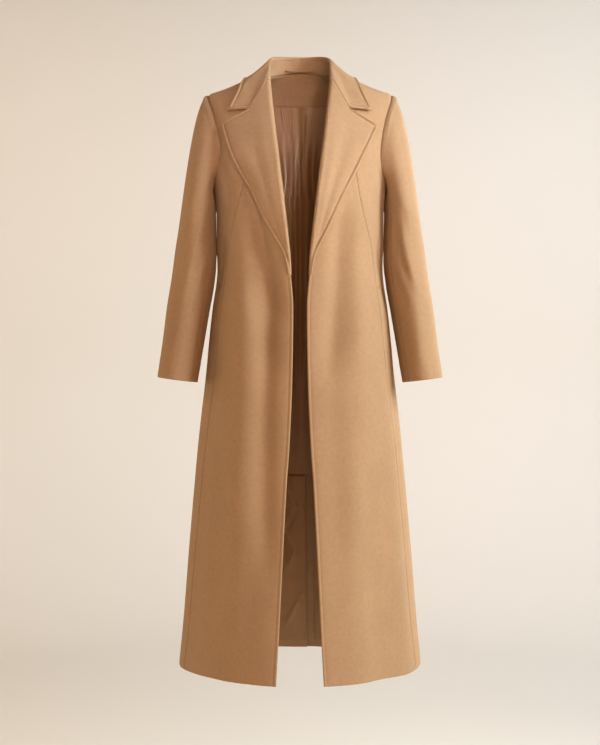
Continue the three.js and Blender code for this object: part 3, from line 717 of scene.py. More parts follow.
class Cloth:
    """A piece of cloth on a surface(across, up), both from 0 to 1. Its shown face looks along normal."""

    def __init__(self, surface, ups, start, end, cell, normal=None, turn=1, lean=True):
        fine = np.linspace(0, 1, FINE_STEPS)
        line = surface(fine[None, :], ups[:, None])
        step = norm(np.diff(line, axis=1))
        run = np.concatenate([np.zeros((len(ups), 1)), np.cumsum(step, axis=1)], axis=1)
        self.widths = run[:, -1]
        straight = np.ones(len(ups))
        start_lean = leans(line[:, 0], line[:, 4]) if lean else straight
        end_lean = leans(line[:, -1], line[:, -5]) if lean else straight
        self.run = places_across(self.widths, start, end, cell, start_lean, end_lean)
        across = np.array([np.interp(a, r, fine) for a, r in zip(self.run, run)])
        up = np.repeat(ups[:, None], across.shape[1], axis=1)
        self.across, self.up, self.turn = across, up, turn
        self.point = surface(across, up)
        if normal is None:
            sideways = surface(across + FINE_STEP, up) - surface(across - FINE_STEP, up)
            upwards = surface(across, up + FINE_STEP) - surface(across, up - FINE_STEP)
            self.normal = unit(np.cross(sideways, upwards)) * turn
        else:
            self.normal = normal(across, up)
        self.from_start = self.run * start_lean[:, None]
        self.from_end = (self.widths[:, None] - self.run) * end_lean[:, None]
        rise = norm(np.diff(self.point, axis=0))
        self.from_low = np.concatenate([np.zeros((1, across.shape[1])), np.cumsum(rise, axis=0)])
        self.from_high = self.from_low[-1:] - self.from_low
        self.relief = np.zeros_like(across)  # on the shown face alone
        self.painted_seam_shade = np.zeros_like(across)  # 1 at a seam's line; carries the painted shade that darkens the wool there

    def border_distance(self):
        sides = np.minimum(self.from_start, self.from_end)
        return np.minimum(sides, np.minimum(self.from_low, self.from_high))

    def move(self, out):
        self.point = self.point + self.normal * out[..., None]

    def swell(self, distance, share=1.0):
        """A turned edge that stands up as far as its stitching, and the stitching's own groove."""
        reach = np.clip(distance / SWELL, 0, 1)
        edge = SWELL_RISE * np.sin(np.pi * reach**0.7) ** 2
        groove = GROOVE_DEPTH * bell(distance - SWELL, GROOVE_WIDTH)
        self.relief = self.relief + share * (edge - groove)
        # painted shade along the stitching's groove, for the wool's colour
        self.painted_seam_shade = np.maximum(self.painted_seam_shade, STITCH_SHADE * share * bell(distance - SWELL, STITCH_WIDTH))

    def seam(self, distance, share=1.0):
        """A seam pressed open: its line lies a little deep, over the two turned-in allowances."""
        allowance = ALLOWANCE_RISE * (1 - smoothstep(*ALLOWANCE_EDGE, distance))
        dip = SEAM_DEPTH * bell(distance, SEAM_WIDTH)
        self.relief = self.relief + share * (allowance - dip)
        # painted shade along the seam's line, for the wool's colour
        self.painted_seam_shade = np.maximum(self.painted_seam_shade, share * bell(distance, SEAM_SHADE_WIDTH))

    def shown(self, offset, thick):
        """The shown and the hidden face, which meet round the border."""
        reach = np.clip(self.border_distance() / (thick / 2), 0, 1)
        halfway = thick / 2 * np.sqrt(1 - (1 - reach) ** 2)
        middle = self.point + self.normal * (offset - thick / 2)
        face = middle + self.normal * (halfway + self.relief * np.clip(reach, 0, 1))[..., None]
        return middle, face, middle - self.normal * halfway[..., None]

    def flat_area(self):
        """Area of the piece in square metres."""
        p = self.point
        across = p[:-1, 1:] - p[:-1, :-1]
        upwards = p[1:, :-1] - p[:-1, :-1]
        return float(norm(np.cross(across, upwards)).sum()) * MM * MM


def add_object(name, data):
    made = bpy.data.objects.new(name, data)
    bpy.context.scene.collection.objects.link(made)
    return made


def shade_smooth(mesh):
    mesh.polygons.foreach_set("use_smooth", np.ones(len(mesh.polygons), bool))


def fill_mesh(name, points, quads):
    mesh = bpy.data.meshes.new(name)
    mesh.vertices.add(len(points))
    mesh.vertices.foreach_set("co", points.astype(np.float32).ravel())
    mesh.loops.add(quads.size)
    mesh.loops.foreach_set("vertex_index", quads.astype(np.int32).ravel())
    mesh.polygons.add(len(quads))
    mesh.polygons.foreach_set("loop_start", np.arange(0, quads.size, 4, dtype=np.int32))
    mesh.update(calc_edges=True)
    shade_smooth(mesh)
    return mesh


def sewn_piece(name, cloth, offset, thick, material, nodes):
    middle, face, hidden = cloth.shown(offset, thick)
    rows, columns = cloth.across.shape
    inner = np.zeros((rows, columns), bool)
    inner[1:-1, 1:-1] = True
    face[~inner] = middle[~inner]
    first = np.arange(rows * columns).reshape(rows, columns)
    second = first.copy()
    second[inner] = rows * columns + np.arange(np.count_nonzero(inner))
    points = np.concatenate([face.reshape(-1, 3), hidden[inner]]) * MM
    quads = []
    for grid, turned in ((first, cloth.turn < 0), (second, cloth.turn > 0)):
        corners = [grid[:-1, :-1], grid[:-1, 1:], grid[1:, 1:], grid[1:, :-1]]
        order = reversed(corners) if turned else corners
        quads.append(np.stack(list(order), axis=-1).reshape(-1, 4))
    mesh = fill_mesh(name, points, np.concatenate(quads))

    def per_point(values):
        return np.concatenate([values.ravel(), values[inner]])

    corner = np.empty(len(mesh.loops), np.int32)
    mesh.loops.foreach_get("vertex_index", corner)
    flat = np.stack([per_point(cloth.run), per_point(cloth.from_low)], axis=-1)[corner] * MM
    mesh.uv_layers.new(name="Cloth").data.foreach_set("uv", flat.astype(np.float32).ravel())
    # the painted shade of seams and stitching, which the wool's colour reads
    painted_seam_shade = per_point(cloth.painted_seam_shade).astype(np.float32)
    mesh.attributes.new("painted_seam_shade", "FLOAT", "POINT").data.foreach_set("value", painted_seam_shade)
    mesh.materials.append(material)
    piece = add_object(name, mesh)
    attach(piece, "root")
    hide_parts(*nodes)
    area = cloth.flat_area()


def wool_piece(name, cloth, nodes, offset=0, thick=CLOTH):
    sewn_piece(name, cloth, offset, thick, wool(), nodes)


def satin_piece(name, cloth, nodes):
    sewn_piece(name, cloth, LINING, LINING, satin(), nodes)


# ---- Finishes ----
def add_node(tree, kind, settings, sockets):
    """A node of a tree. sockets gives its inputs a value, or the socket that feeds them."""
    made = tree.nodes.new(kind)
    for key, setting in (settings or {}).items():
        setattr(made, key, setting)
    for key, given in (sockets or {}).items():
        if isinstance(given, bpy.types.NodeSocket):
            tree.links.new(given, made.inputs[key])
        else:
            made.inputs[key].default_value = given
    return made


class Value:
    """A shader socket that takes part in Python arithmetic; each step adds its Math node."""

    def __init__(self, shader, socket):
        self.shader = shader
        self.socket = socket

    def math(self, operation, *terms):
        return self.shader.node("ShaderNodeMath", {"operation": operation}, dict(enumerate(terms)))

    def __add__(self, other):
        return self.math("ADD", self, other)

    __radd__ = __add__

    def __sub__(self, other):
        return self.math("SUBTRACT", self, other)

    def __rsub__(self, other):
        return self.math("SUBTRACT", other, self)

    def __mul__(self, other):
        return self.math("MULTIPLY", self, other)

    __rmul__ = __mul__


class Shader:
    """A material and the one way of adding a node to it."""

    def __init__(self, name):
        self.material = bpy.data.materials.new(name)
        self.material.use_nodes = True
        self.tree = self.material.node_tree
        self.tree.nodes.clear()

    def node(self, kind, settings=None, sockets=None, output=0):
        fed = {}
        for key, given in (sockets or {}).items():
            fed[key] = given.socket if isinstance(given, Value) else given
        return Value(self, add_node(self.tree, kind, settings, fed).outputs[output])

    def noise(self, place, scale, detail, roughness):
        sockets = {"Vector": place, "Scale": scale, "Detail": detail, "Roughness": roughness}
        return self.node("ShaderNodeTexNoise", {}, sockets)

    def stretched(self, place, scale):
        return self.node("ShaderNodeMapping", {}, {"Vector": place, "Scale": scale})

    def mix(self, share, a, b):
        return self.node("ShaderNodeMix", {"data_type": "RGBA"}, {0: share, 6: a, 7: b}, 2)

    def finish(self, **sockets):
        named = {key.replace("_", " "): given for key, given in sockets.items()}
        surface = self.node("ShaderNodeBsdfPrincipled", {}, named)
        add_node(self.tree, "ShaderNodeOutputMaterial", {}, {"Surface": surface.socket})
        return self.material

    def bump(self, height, strength, distance):
        return self.node("ShaderNodeBump", {}, {"Strength": strength, "Distance": distance, "Height": height})


# Sizes of the patterns in the finishes, in waves a metre.
FIBRES = (1500, 420, 1)
PILE = 1150
MOTTLE = 130
CLOUD = 14
SATIN_THREADS = (260, 2600, 1)
PRESS = 26
TWIST = 2400


def shade(colour, factor):
    return (*(min(1, channel * factor) for channel in colour), 1)


def wool_finish(colours):
    """Brushed coating: short fibres that lie down the cloth, over a faint mottle, darkened by painted shade
    along seams and stitching.
    """
    shader = Shader("Camel_wool")
    solid = shader.node("ShaderNodeTexCoord", output=3)
    flat = shader.node("ShaderNodeUVMap", {"uv_map": "Cloth"})
    fibre = shader.noise(shader.stretched(flat, FIBRES), 1.0, 3.0, 0.65)
    pile = shader.noise(solid, PILE, 2.0, 0.6)
    mottle = shader.noise(solid, MOTTLE, 3.0, 0.55)
    cloud = shader.noise(solid, CLOUD, 2.0, 0.5)
    # Painted shade: the wool's colour is darkened along seam lines and stitching, where their grooves lie.
    painted_seam_shade = shader.node("ShaderNodeAttribute", {"attribute_name": "painted_seam_shade"}, output=2)
    share = fibre * 0.55 + pile * 0.55 + mottle * 0.5 + cloud * 0.3 - 0.45 - painted_seam_shade * 0.3
    base = shader.mix(share, shade(colours.wool, 0.72), shade(colours.wool, 1.26))
    height = fibre * 0.5 + pile * 0.5 + mottle * 0.35
    return shader.finish(
        Base_Color=base,
        Roughness=0.86 + 0.16 * pile,
        Normal=shader.bump(height, 0.42, 0.0009),
        Sheen_Weight=0.34,
        Sheen_Roughness=0.42,
        Sheen_Tint=shade(colours.wool, 1.9),
        Specular_IOR_Level=0.22,
    )


def satin_finish(colours):
    """Lining satin: fine threads across the piece, with a soft gloss that varies with the press."""
    shader = Shader("Lining_satin")
    solid = shader.node("ShaderNodeTexCoord", output=3)
    flat = shader.node("ShaderNodeUVMap", {"uv_map": "Cloth"})
    threads = shader.noise(shader.stretched(flat, SATIN_THREADS), 1.0, 2.0, 0.6)
    press = shader.noise(solid, PRESS, 3.0, 0.55)
    share = threads * 0.6 + press * 0.7 - 0.2
    base = shader.mix(share, shade(colours.satin, 0.74), shade(colours.satin, 1.2))
    height = threads * 0.5 + press
    return shader.finish(
        Base_Color=base,
        Roughness=0.3 + 0.2 * press,
        Normal=shader.bump(height, 0.18, 0.0008),
        Sheen_Weight=0.12,
        Specular_IOR_Level=0.5,
    )


def thread_finish(colours):
    """Twisted sewing thread."""
    shader = Shader("Sewing_thread")
    solid = shader.node("ShaderNodeTexCoord", output=3)
    twist = shader.noise(solid, TWIST, 1.0, 0.5)
    base = shader.mix(twist, shade(colours.thread, 0.7), shade(colours.thread, 1.2))
    bump = shader.bump(twist, 0.3, 0.0003)
    return shader.finish(Base_Color=base, Roughness=0.62 + 0.1 * twist, Normal=bump)


def finish_named(name, make):
    """The finish of that name, made when the first piece asks for it."""
    return bpy.data.materials.get(name) or make(bpy.context.scene.coat_colours)


def wool():
    return finish_named("Camel_wool", wool_finish)


def satin():
    return finish_named("Lining_satin", satin_finish)


def thread():
    return finish_named("Sewing_thread", thread_finish)


# ---- Body panels ----
SIDES = (("left", 1), ("right", -1))
BODY_LENGTH = NECK_POINT - HEM
BREAK_FADE = (BREAK - 8, BREAK + 12)  # heights over which the front's swelled edge ends
FRONT_STITCHED = (HEM + 3, BREAK - 12)
VENT_FADE = (VENT_TOP - 2, VENT_TOP)
BACK_SEAM_END = (VENT_TOP - 4, VENT_TOP + 4)
VENT_ROWS = VENT_TOP + np.array([-5, -3, -2, -1.6, -1.4, -0.8, 0, 2])
ARMHOLE_ROWS = 56
CLOSEST_ROWS = 0.06
HEM_MARK = 0.3  # how far the cloth stands out over the turned-up hem and cuff
HEM_EDGE = (46, 49)
CUFF_EDGE = (40, 43)
FRONT_SWELL = 0.45  # how strongly the edge is swelled
FREE_SWELL = 1.35
SWELL_FADE = (6, 9)  # distances from the next edge over which a swelled edge comes in
PAST_NOTCH = (0.7, 0.735)  # shares of the width of lapel and fall where the notch frees the edge
STITCHED_FROM = 0.72  # share at which the stitches start there
STAND_OUT = 1.9  # how far the stand clears the facing at the neck seam
STAND_FADE = (2, 16)
FACING_BACK = 0.7  # how far the facing draws back there
FACING_FADE = (1, 14)
COLLAR_SEAM = 0.15  # how strongly a seam shows
GORGE_SEAM = 0.45
FACING_SEAM = 0.4

# Distances between neighbouring points of a mesh, away from its edges.
BODY_CELL = 5
FRONT_CELL = 4.5
COMMON_CELL = 4
FINE_CELL = 3
LINING_CELL = 2.2
TAPE_CELL = 1.2
TAPE_STEPS = (0, 0.1, 0.35, 0.65, 1)
TAPE_RIB = 0.25  # height of the ribs across the loop
TAPE_RIBS = 2.4  # radians of their wave in a millimetre

# Lengths of the pieces from low to high, by which their rows are laid out.
LAPEL_LENGTH = 430
STAND_LENGTH = 30
FALL_LENGTH = 104
TUBE_LENGTH = 355
CAP_LENGTH = 290
FACING_LENGTH = 60
LINING_LENGTH = 790


def body_rows(cell):
    """Shares of the body's height, with rows close together at the hem, armhole and vent."""
    low = steps_up(BODY_LENGTH, SEAM_STEPS, SEAM_STEPS, cell) * BODY_LENGTH + HEM
    steps = np.cos(np.radians(180 * (1 - np.linspace(0, 1, ARMHOLE_ROWS))))
    hole = ARMHOLE_MIDDLE + (ARMHOLE_HALF - UNDER_SLEEVE) * steps
    heights = np.concatenate([low[(low < hole[0]) | (low > hole[-1])], hole, VENT_ROWS])
    heights = np.unique(np.round(heights, 4))
    keep = np.concatenate([[True], np.diff(heights) > CLOSEST_ROWS])
    return (heights[keep] - HEM) / BODY_LENGTH


def cloth_on_form(place, depth, facing, ups, start, end, cell, turn, lean=True):
    """Cloth along the form. place(across, up) is its angle and height, and depth(across, angle, z), where
    it isn't None, how far inside the form it lies. facing is 1 when it shows outwards, -1 inwards."""

    def surface(across, up):
        angle, z = place(across, up)
        point = on_form(angle, z)
        if depth is None:
            return point
        return point - form_normal(angle, z) * depth(across, angle, z)[..., None]

    def normal(across, up):
        return facing * form_normal(*place(across, up))

    return Cloth(surface, ups, start, end, cell, normal, turn, lean)


def panel(side, angle_from, angle_to, start, cell, sink=None):
    """A body panel between two angles of the form at each height."""

    def place(across, up):
        z = lerp(HEM, NECK_POINT, up)
        return side * lerp(angle_from(z), angle_to(z), across), z

    cloth = cloth_on_form(place, sink, 1, body_rows(BODY_CELL), start, SEAM_STEPS, cell, side, sink is None)
    cloth.z = lerp(HEM, NECK_POINT, cloth.up)
    cloth.relief = cloth.relief + HEM_MARK * (1 - smoothstep(*HEM_EDGE, cloth.z - HEM))
    return cloth


def stitch_line(cloth, face, rows, columns):
    return face[rows, columns], cloth.normal[rows, columns]


def make_front(name, side):
    cloth = panel(side, front_from, front_to, SWELL_STEPS, FRONT_CELL)
    cloth.swell(cloth.from_start, FRONT_SWELL * (1 - smoothstep(*BREAK_FADE, cloth.z)))
    cloth.seam(cloth.from_end)
    wool_piece(f"Front_{name}", cloth, [f"front_{name}"])
    face = cloth.shown(0, CLOTH)[1]
    shown = (cloth.z[:, 0] > FRONT_STITCHED[0]) & (cloth.z[:, 0] < FRONT_STITCHED[1])
    return stitch_line(cloth, face, shown, SWELL_AT)


def make_side(name, side):
    cloth = panel(side, side_from, side_to, SEAM_STEPS, FRONT_CELL)
    cloth.seam(cloth.from_start)
    cloth.seam(cloth.from_end)
    wool_piece(f"Side_front_{name}", cloth, [f"side_{name}"])


def underlap_depth(across, angle, z):
    return VENT_DEPTH * smoothstep(*VENT_TURN, np.abs(angle)) * (1 - smoothstep(*VENT_FADE, z))


def make_back(name, side):
    to, sink = (underlap_to, underlap_depth) if side < 0 else (back_to, None)
    cloth = panel(side, back_from, to, SEAM_STEPS, BODY_CELL, sink)
    cloth.seam(cloth.from_start)
    cloth.seam(cloth.from_end, smoothstep(*BACK_SEAM_END, cloth.z))
    wool_piece(f"Back_{name}", cloth, [f"back_{name}"])


# ---- Lapels, collar, sleeves ----
def make_lapel(name, side):
    def surface(across, up):
        return on_lapel(2 * across, lerp(LAPEL_START, 1, up), side)

    ups = steps_up(LAPEL_LENGTH, PLAIN_STEPS, SWELL_STEPS, FINE_CELL)
    cloth = Cloth(surface, ups, PLAIN_STEPS, SWELL_STEPS, FINE_CELL, turn=side)
    past_notch = smoothstep(*PAST_NOTCH, cloth.across)
    cloth.swell(cloth.from_end, FREE_SWELL * smoothstep(*SWELL_FADE, cloth.from_high))
    cloth.swell(cloth.from_high, FREE_SWELL * past_notch * smoothstep(*SWELL_FADE, cloth.from_end))
    cloth.seam(cloth.from_high, GORGE_SEAM * (1 - past_notch))
    wool_piece(f"Lapel_{name}", cloth, [f"lapel_{name}"], CLOTH / 2)
    face = cloth.shown(CLOTH / 2, CLOTH)[1]
    rows = slice(len(PLAIN_STEPS) + 1, face.shape[0] - SWELL_AT)
    columns = slice(int(STITCHED_FROM * face.shape[1]), face.shape[1] - SWELL_AT)
    edge = -1 - SWELL_AT
    return [stitch_line(cloth, face, rows, edge), stitch_line(cloth, face, edge, columns)]


def seam_share(round_):
    turn = np.abs(round_)
    return SEAM / 2 / norm(neck_seam(turn) - on_collar(np.ones_like(turn), turn))


def stand_top(round_):
    return lerp(STAND_BACK, STAND_GORGE, round_**2)


def on_stand(across, up):
    across, up = np.broadcast_arrays(across, up)
    round_ = 2 * across - 1
    return on_collar(up * (stand_top(round_) - seam_share(round_)), round_)


def on_fall(across, up):
    across, up = np.broadcast_arrays(across, up)
    round_, part = 2 * across - 1, 2 * up - 1
    start = stand_top(round_) + seam_share(round_)
    return on_collar(np.where(part <= 0, 1 + part * (1 - start), 1 + part), round_)


def make_stand():
    ups = steps_up(STAND_LENGTH, SEAM_STEPS, SEAM_STEPS, FINE_CELL)
    cloth = Cloth(on_stand, ups, PLAIN_STEPS, PLAIN_STEPS, COMMON_CELL)
    cloth.seam(cloth.from_high, COLLAR_SEAM)
    cloth.move(STAND_OUT * (1 - smoothstep(*STAND_FADE, cloth.from_low)))
    wool_piece("Collar_stand", cloth, ["collar_stand"], CLOTH / 2)


def make_fall():
    ups = steps_up(FALL_LENGTH, SEAM_STEPS, SWELL_STEPS, FINE_CELL)
    cloth = Cloth(on_fall, ups, SWELL_STEPS, SWELL_STEPS, COMMON_CELL)
    ends = np.minimum(cloth.from_start, cloth.from_end)
    free = smoothstep(*PAST_NOTCH, cloth.up)
    cloth.swell(cloth.from_high, FREE_SWELL * smoothstep(*SWELL_FADE, ends))
    cloth.swell(ends, FREE_SWELL * free * smoothstep(*SWELL_FADE, cloth.from_high))
    cloth.seam(ends, GORGE_SEAM * (1 - free))
    cloth.seam(cloth.from_low, COLLAR_SEAM)
    wool_piece("Collar_fall", cloth, ["collar"], CLOTH / 2)
    face = cloth.shown(CLOTH / 2, CLOTH)[1]
    edge, inner = -1 - SWELL_AT, slice(SWELL_AT, face.shape[1] - SWELL_AT)
    rows = slice(int(STITCHED_FROM * face.shape[0]), face.shape[0] - SWELL_AT)
    lines = ((edge, inner), (rows, SWELL_AT), (rows, edge))
    return [stitch_line(cloth, face, *line) for line in lines]


def make_sleeve(name, side, part, start, end):
    def surface(across, up):
        return on_sleeve(lerp(start, end, across), 2 * up, side)

    tube = steps_up(TUBE_LENGTH, PLAIN_STEPS, (0,), COMMON_CELL)
    cap = steps_up(CAP_LENGTH, (0,), SEAM_STEPS, COMMON_CELL)[1:]
    ups = np.concatenate([tube * 0.5, 0.5 + cap * 0.5])
    cloth = Cloth(surface, ups, SEAM_STEPS, SEAM_STEPS, COMMON_CELL, turn=side, lean=False)
    turn = lerp(start, end, cloth.across)
    creases = [row[1:] for row in SLEEVE_CREASES if row[0] == side]
    cloth.move(ridges(creases, turn, cloth.point[..., 2]))
    top = smoothstep(*HEAD_FADE, np.cos(np.radians(turn)))
    head = HEAD_RISE * bell(cloth.from_high - HEAD_AT, HEAD_WIDTH) * top
    cloth.relief = cloth.relief + head + HEM_MARK * (1 - smoothstep(*CUFF_EDGE, cloth.from_low))
    for distance in (cloth.from_start, cloth.from_end, cloth.from_high):
        cloth.seam(distance)
    wool_piece(f"Sleeve_{part}_{name}", cloth, [f"sleeve_{part}_{name}"])


# ---- Inside the back ----
def inside(z):
    return CLOTH + lerp(LINING_EASE, NECK_EASE, smoothstep(-60, NECK_POINT, z))


def facing_low(place):
    return lerp(FACING_LOW_BACK, FACING_LOW_SIDE, (1 - place) ** 2)


def lining_lift(place, z):
    """The pleat at centre back, the gathers beside it, and the step over the vent's turned-in cloth."""
    pleat = PLEAT_HEIGHT * bell(place - PLEAT_PLACE, PLEAT_WIDTH) * smoothstep(*PLEAT_FADE, z)
    along = np.clip((place - GATHER_FROM) / (GATHER_TO - GATHER_FROM), 0, 1)
    gathers = GATHER_HEIGHT * np.sin(along * GATHER_COUNT * np.pi) ** 2 * smoothstep(*GATHER_FADE, z)
    low = 1 - smoothstep(*STEP_FADE, z)
    middle = 1 - smoothstep(*STEP_EDGE, np.abs(place - 1))
    return pleat + gathers + VENT_STEP * low * middle


def inside_cloth(low, high, lift, ups, cell):
    """Cloth inside the back. Its place runs from 0 at the wearer's left edge by 1 at centre back to 2."""

    def place(across, up):
        share = 2 * across
        z = lerp(low(share), high(share), up)
        from_edge = lerp(back_from(z) + INSIDE_INSET, 180, 1 - np.abs(share - 1))
        return np.where(share > 1, 360 - from_edge, from_edge), z

    def depth(across, angle, z):
        return inside(z) + lift(2 * across, z)

    return cloth_on_form(place, depth, -1, ups, PLAIN_STEPS, PLAIN_STEPS, cell, -1)


def make_facing():
    ups = steps_up(FACING_LENGTH, SEAM_STEPS, SEAM_STEPS, FINE_CELL)

    def top(place):
        return np.full_like(place, FACING_TOP)

    cloth = inside_cloth(facing_low, top, lambda place, z: 0, ups, COMMON_CELL)
    cloth.seam(cloth.from_low, FACING_SEAM)
    cloth.move(-FACING_BACK * (1 - smoothstep(*FACING_FADE, cloth.from_high)))
    wool_piece("Back_neck_facing", cloth, ["back_neck_facing"], CLOTH)


# Creases of the linings, with the same columns as FOLDS.
LINING_CREASES = (
    (-24, -560, 190.5, 188, 3.0, 5.2),
    (-30, -640, 185.4, 184.4, 1.8, -3.0),
    (-34, -700, 182.6, 182.0, 1.2, 2.4),
    (-30, -660, 180.2, 179.6, 0.8, -1.8),
    (-28, -620, 176.4, 177, 2.0, 2.6),
    (-30, -600, 171.5, 173, 2.4, -3.2),
    (-40, -640, 166, 168, 3.2, 3.6),
    (-80, -760, 195, 193, 3.0, -2.4),
    (-420, -820, 178, 180, 2.4, 1.4),
    (-300, -700, 158, 163, 4.0, 1.8),
    (-330, -720, 201, 197, 4.0, 1.7),
)
SKIRT_CREASES = (
    (-830, -905, -168, -181, 1.6, 1.7),
    (-860, -960, -183, -170, 1.8, -1.6),
    (-900, -1010, -166, -179, 1.7, 2.0),
    (-960, -1060, -180, -168, 1.6, 1.4),
    (-1000, -1120, -170, -184, 1.9, -1.7),
    (-1060, -1170, -184, -169, 1.7, 2.0),
    (-840, -1190, -156, -160, 2.5, 1.6),
    (-840, -960, 166, 173, 1.8, 1.4),
    (-930, -1080, 172, 160, 2.0, -1.4),
    (-1040, -1180, 164, 172, 2.0, 1.6),
)


def make_lining_back():
    ups = steps_up(LINING_LENGTH, PLAIN_STEPS, SEAM_STEPS, COMMON_CELL)

    def bottom(place):
        return np.full_like(place, float(VENT_TOP))

    def top(place):
        return facing_low(place) - SEAM

    def lift(place, z):
        return lining_lift(place, z) + ridges(LINING_CREASES, 180 + (place - 1) * LINING_SPREAD, z)

    cloth = inside_cloth(bottom, top, lift, ups, LINING_CELL)
    cloth.seam(cloth.from_high, FACING_SEAM)
    satin_piece("Lining_back", cloth, ["lining_back"])


def make_lining_skirt(name, side):
    past_centre = VENT_UNDERLAP - SKIRT_INSET if side < 0 else -VENT_FACING

    def place(across, up):
        z = lerp(LINING_HEM, SKIRT_TOP, up)
        end = 180 + degrees_for(past_centre, 180, z)
        return side * lerp(back_from(z) + INSIDE_INSET, end, across), z

    def depth(across, angle, z):
        sink = VENT_DEPTH * smoothstep(*VENT_TURN, -angle) if side < 0 else 0
        crease = ridges(SKIRT_CREASES, angle, z)
        return CLOTH + SKIRT_EASE + sink + crease * smoothstep(LINING_HEM, LINING_HEM + SKIRT_FLAT, z)

    ups = steps_up(SKIRT_TOP - LINING_HEM, PLAIN_STEPS, PLAIN_STEPS, FINE_CELL)
    cloth = cloth_on_form(place, depth, -1, ups, PLAIN_STEPS, PLAIN_STEPS, FINE_CELL, -side)
    satin_piece(f"Lining_skirt_{name}", cloth, [f"lining_skirt_{name}"])


def on_loop(across, up):
    across, up = np.broadcast_arrays(across, up)
    share = 2 * across - 1
    stand = on_collar(np.full_like(share, LOOP_AT[0]), np.abs(share) * LOOP_HALF / LOOP_AT[1])
    middle = 1 - share**2
    y = stand[..., 1] - LOOP_OFF - LOOP_BOW * middle
    z = LOOP_HEIGHT - LOOP_SAG * middle - LOOP_TILT * share
    return vec(share * LOOP_HALF, y, z + (up - 0.5) * LOOP_WIDTH)


def make_loop():
    ups = steps_up(LOOP_WIDTH, TAPE_STEPS, TAPE_STEPS, TAPE_CELL / 2)
    cloth = Cloth(on_loop, ups, TAPE_STEPS, TAPE_STEPS, TAPE_CELL)
    ribs = TAPE_RIB * np.sin(cloth.run * TAPE_RIBS) ** 2
    cloth.relief = ribs * np.clip(cloth.border_distance(), 0, 1)
    wool_piece("Hanger_loop", cloth, ["hanger_loop"], LOOP_THICK / 2, LOOP_THICK)


# ---- Stitches ----
STITCH_LIFT = 0.1


def stitch_tree():
    """Lays one small rounded stitch after another along the edges of a mesh."""
    tree = bpy.data.node_groups.new("Row_of_stitches", "GeometryNodeTree")

    def socket(name, kind, way="INPUT"):
        return tree.interface.new_socket(name=name, in_out=way, socket_type=kind).identifier

    def node(kind, settings=None, sockets=None):
        return add_node(tree, kind, settings, sockets).outputs

    socket("Path", "NodeSocketGeometry")
    made = {name: socket(name, "NodeSocketFloat") for name in ("Spacing", "Stitch length", "Thread width")}
    made["Thread"] = socket("Thread", "NodeSocketMaterial")
    socket("Stitches", "NodeSocketGeometry", "OUTPUT")
    given = node("NodeGroupInput")
    width = given["Thread width"]
    curve = node("GeometryNodeMeshToCurve", {}, {"Mesh": given["Path"]})[0]
    steps = {"Curve": curve, "Length": given["Spacing"]}
    even = node("GeometryNodeResampleCurve", {"mode": "LENGTH"}, steps)[0]
    out = node("GeometryNodeInputNamedAttribute", {"data_type": "FLOAT_VECTOR"}, {"Name": "out"})[0]
    axes = {"primary_axis": "X", "secondary_axis": "Z"}
    ways = {"Primary Axis": node("GeometryNodeInputTangent")[0], "Secondary Axis": out}
    turned = node("FunctionNodeAxesToRotation", axes, ways)[0]
    ball = node("GeometryNodeMeshUVSphere", {}, {"Segments": 6, "Rings": 4, "Radius": 0.5})[0]
    size = node("ShaderNodeCombineXYZ", {}, {"X": given["Stitch length"], "Y": width, "Z": width})[0]
    one = node("GeometryNodeTransform", {}, {"Geometry": ball, "Scale": size})[0]
    limits = {0: (0.9, 0.9, 0.9), 1: (1.08, 1.08, 1.08), "Seed": 11}
    uneven = node("FunctionNodeRandomValue", {"data_type": "FLOAT_VECTOR"}, limits)[0]
    laid = {"Points": even, "Instance": one, "Rotation": turned, "Scale": uneven}
    stitches = node("GeometryNodeInstanceOnPoints", {}, laid)[0]
    real = node("GeometryNodeRealizeInstances", {}, {"Geometry": stitches})[0]
    coloured = node("GeometryNodeSetMaterial", {}, {"Geometry": real, "Material": given["Thread"]})[0]
    node("NodeGroupOutput", {}, {"Stitches": coloured})
    return tree, made


def make_stitches(name, paths, spacing, length, width):
    """A row of stitches along each path, which is a list of points with the cloth's normals there."""
    points, normals, edges = [], [], []
    for line, outward in paths:
        first = len(points)
        points.extend((line + outward * STITCH_LIFT) * MM)
        normals.extend(outward)
        edges.extend((first + i, first + i + 1) for i in range(len(line) - 1))
    mesh = bpy.data.meshes.new(name)
    mesh.from_pydata([tuple(p) for p in points], edges, [])
    data = mesh.attributes.new("out", "FLOAT_VECTOR", "POINT").data
    data.foreach_set("vector", np.array(normals, np.float32).ravel())
    piece = add_object(name, mesh)
    tree, sockets = stitch_tree()
    sewing = piece.modifiers.new("Sewing", "NODES")
    sewing.node_group = tree
    sewing[sockets["Thread"]] = thread()
    for key, value in (("Spacing", spacing), ("Stitch length", length), ("Thread width", width)):
        sewing[sockets[key]] = value * MM
    bpy.context.view_layer.update()
    made = bpy.data.meshes.new_from_object(piece.evaluated_get(bpy.context.evaluated_depsgraph_get()))
    piece.modifiers.remove(sewing)
    piece.data = made
    shade_smooth(made)
    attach(piece, "root")


def edge_stitches(name, lines):
    """The stitching that shows beside a swelled edge."""
    sizes = bpy.context.scene.coat_sizes
    make_stitches(name, lines, sizes.stitch_spacing / MM, sizes.stitch_length / MM, sizes.thread_width / MM)


TACK_INNER = (171, -405)  # distance from the middle plane, height
TACK_OUTER = (160, -420)
TACK_OUT = 0.1
TACK_STITCHES = (0.7, 0.9, 2.2)  # spacing, length, width


def tack_path(side):
    share = np.linspace(0, 1, 24)
    x, z = (lerp(a, b, share) for a, b in zip(TACK_INNER, TACK_OUTER))
    angle = side * angle_at(x, z)
    normal = form_normal(angle, z)
    return on_form(angle, z) + normal * TACK_OUT, normal


# ---- Stage ----
EYE = (0, -2.5, -0.592)
SENSOR = 36
LENS = 57.261745
FLOOR = -1.95
COVE_FLAT = 3.4  # radius of the floor's flat part
COVE_TURN = 1.6  # radius of its curve up into the wall
COVE_TOP = 4.2
COVE_POINTS = 96  # round the cove
AIR = ((1.0, 0.85, 0.7), 0.01)  # colour and strength of the light from all round
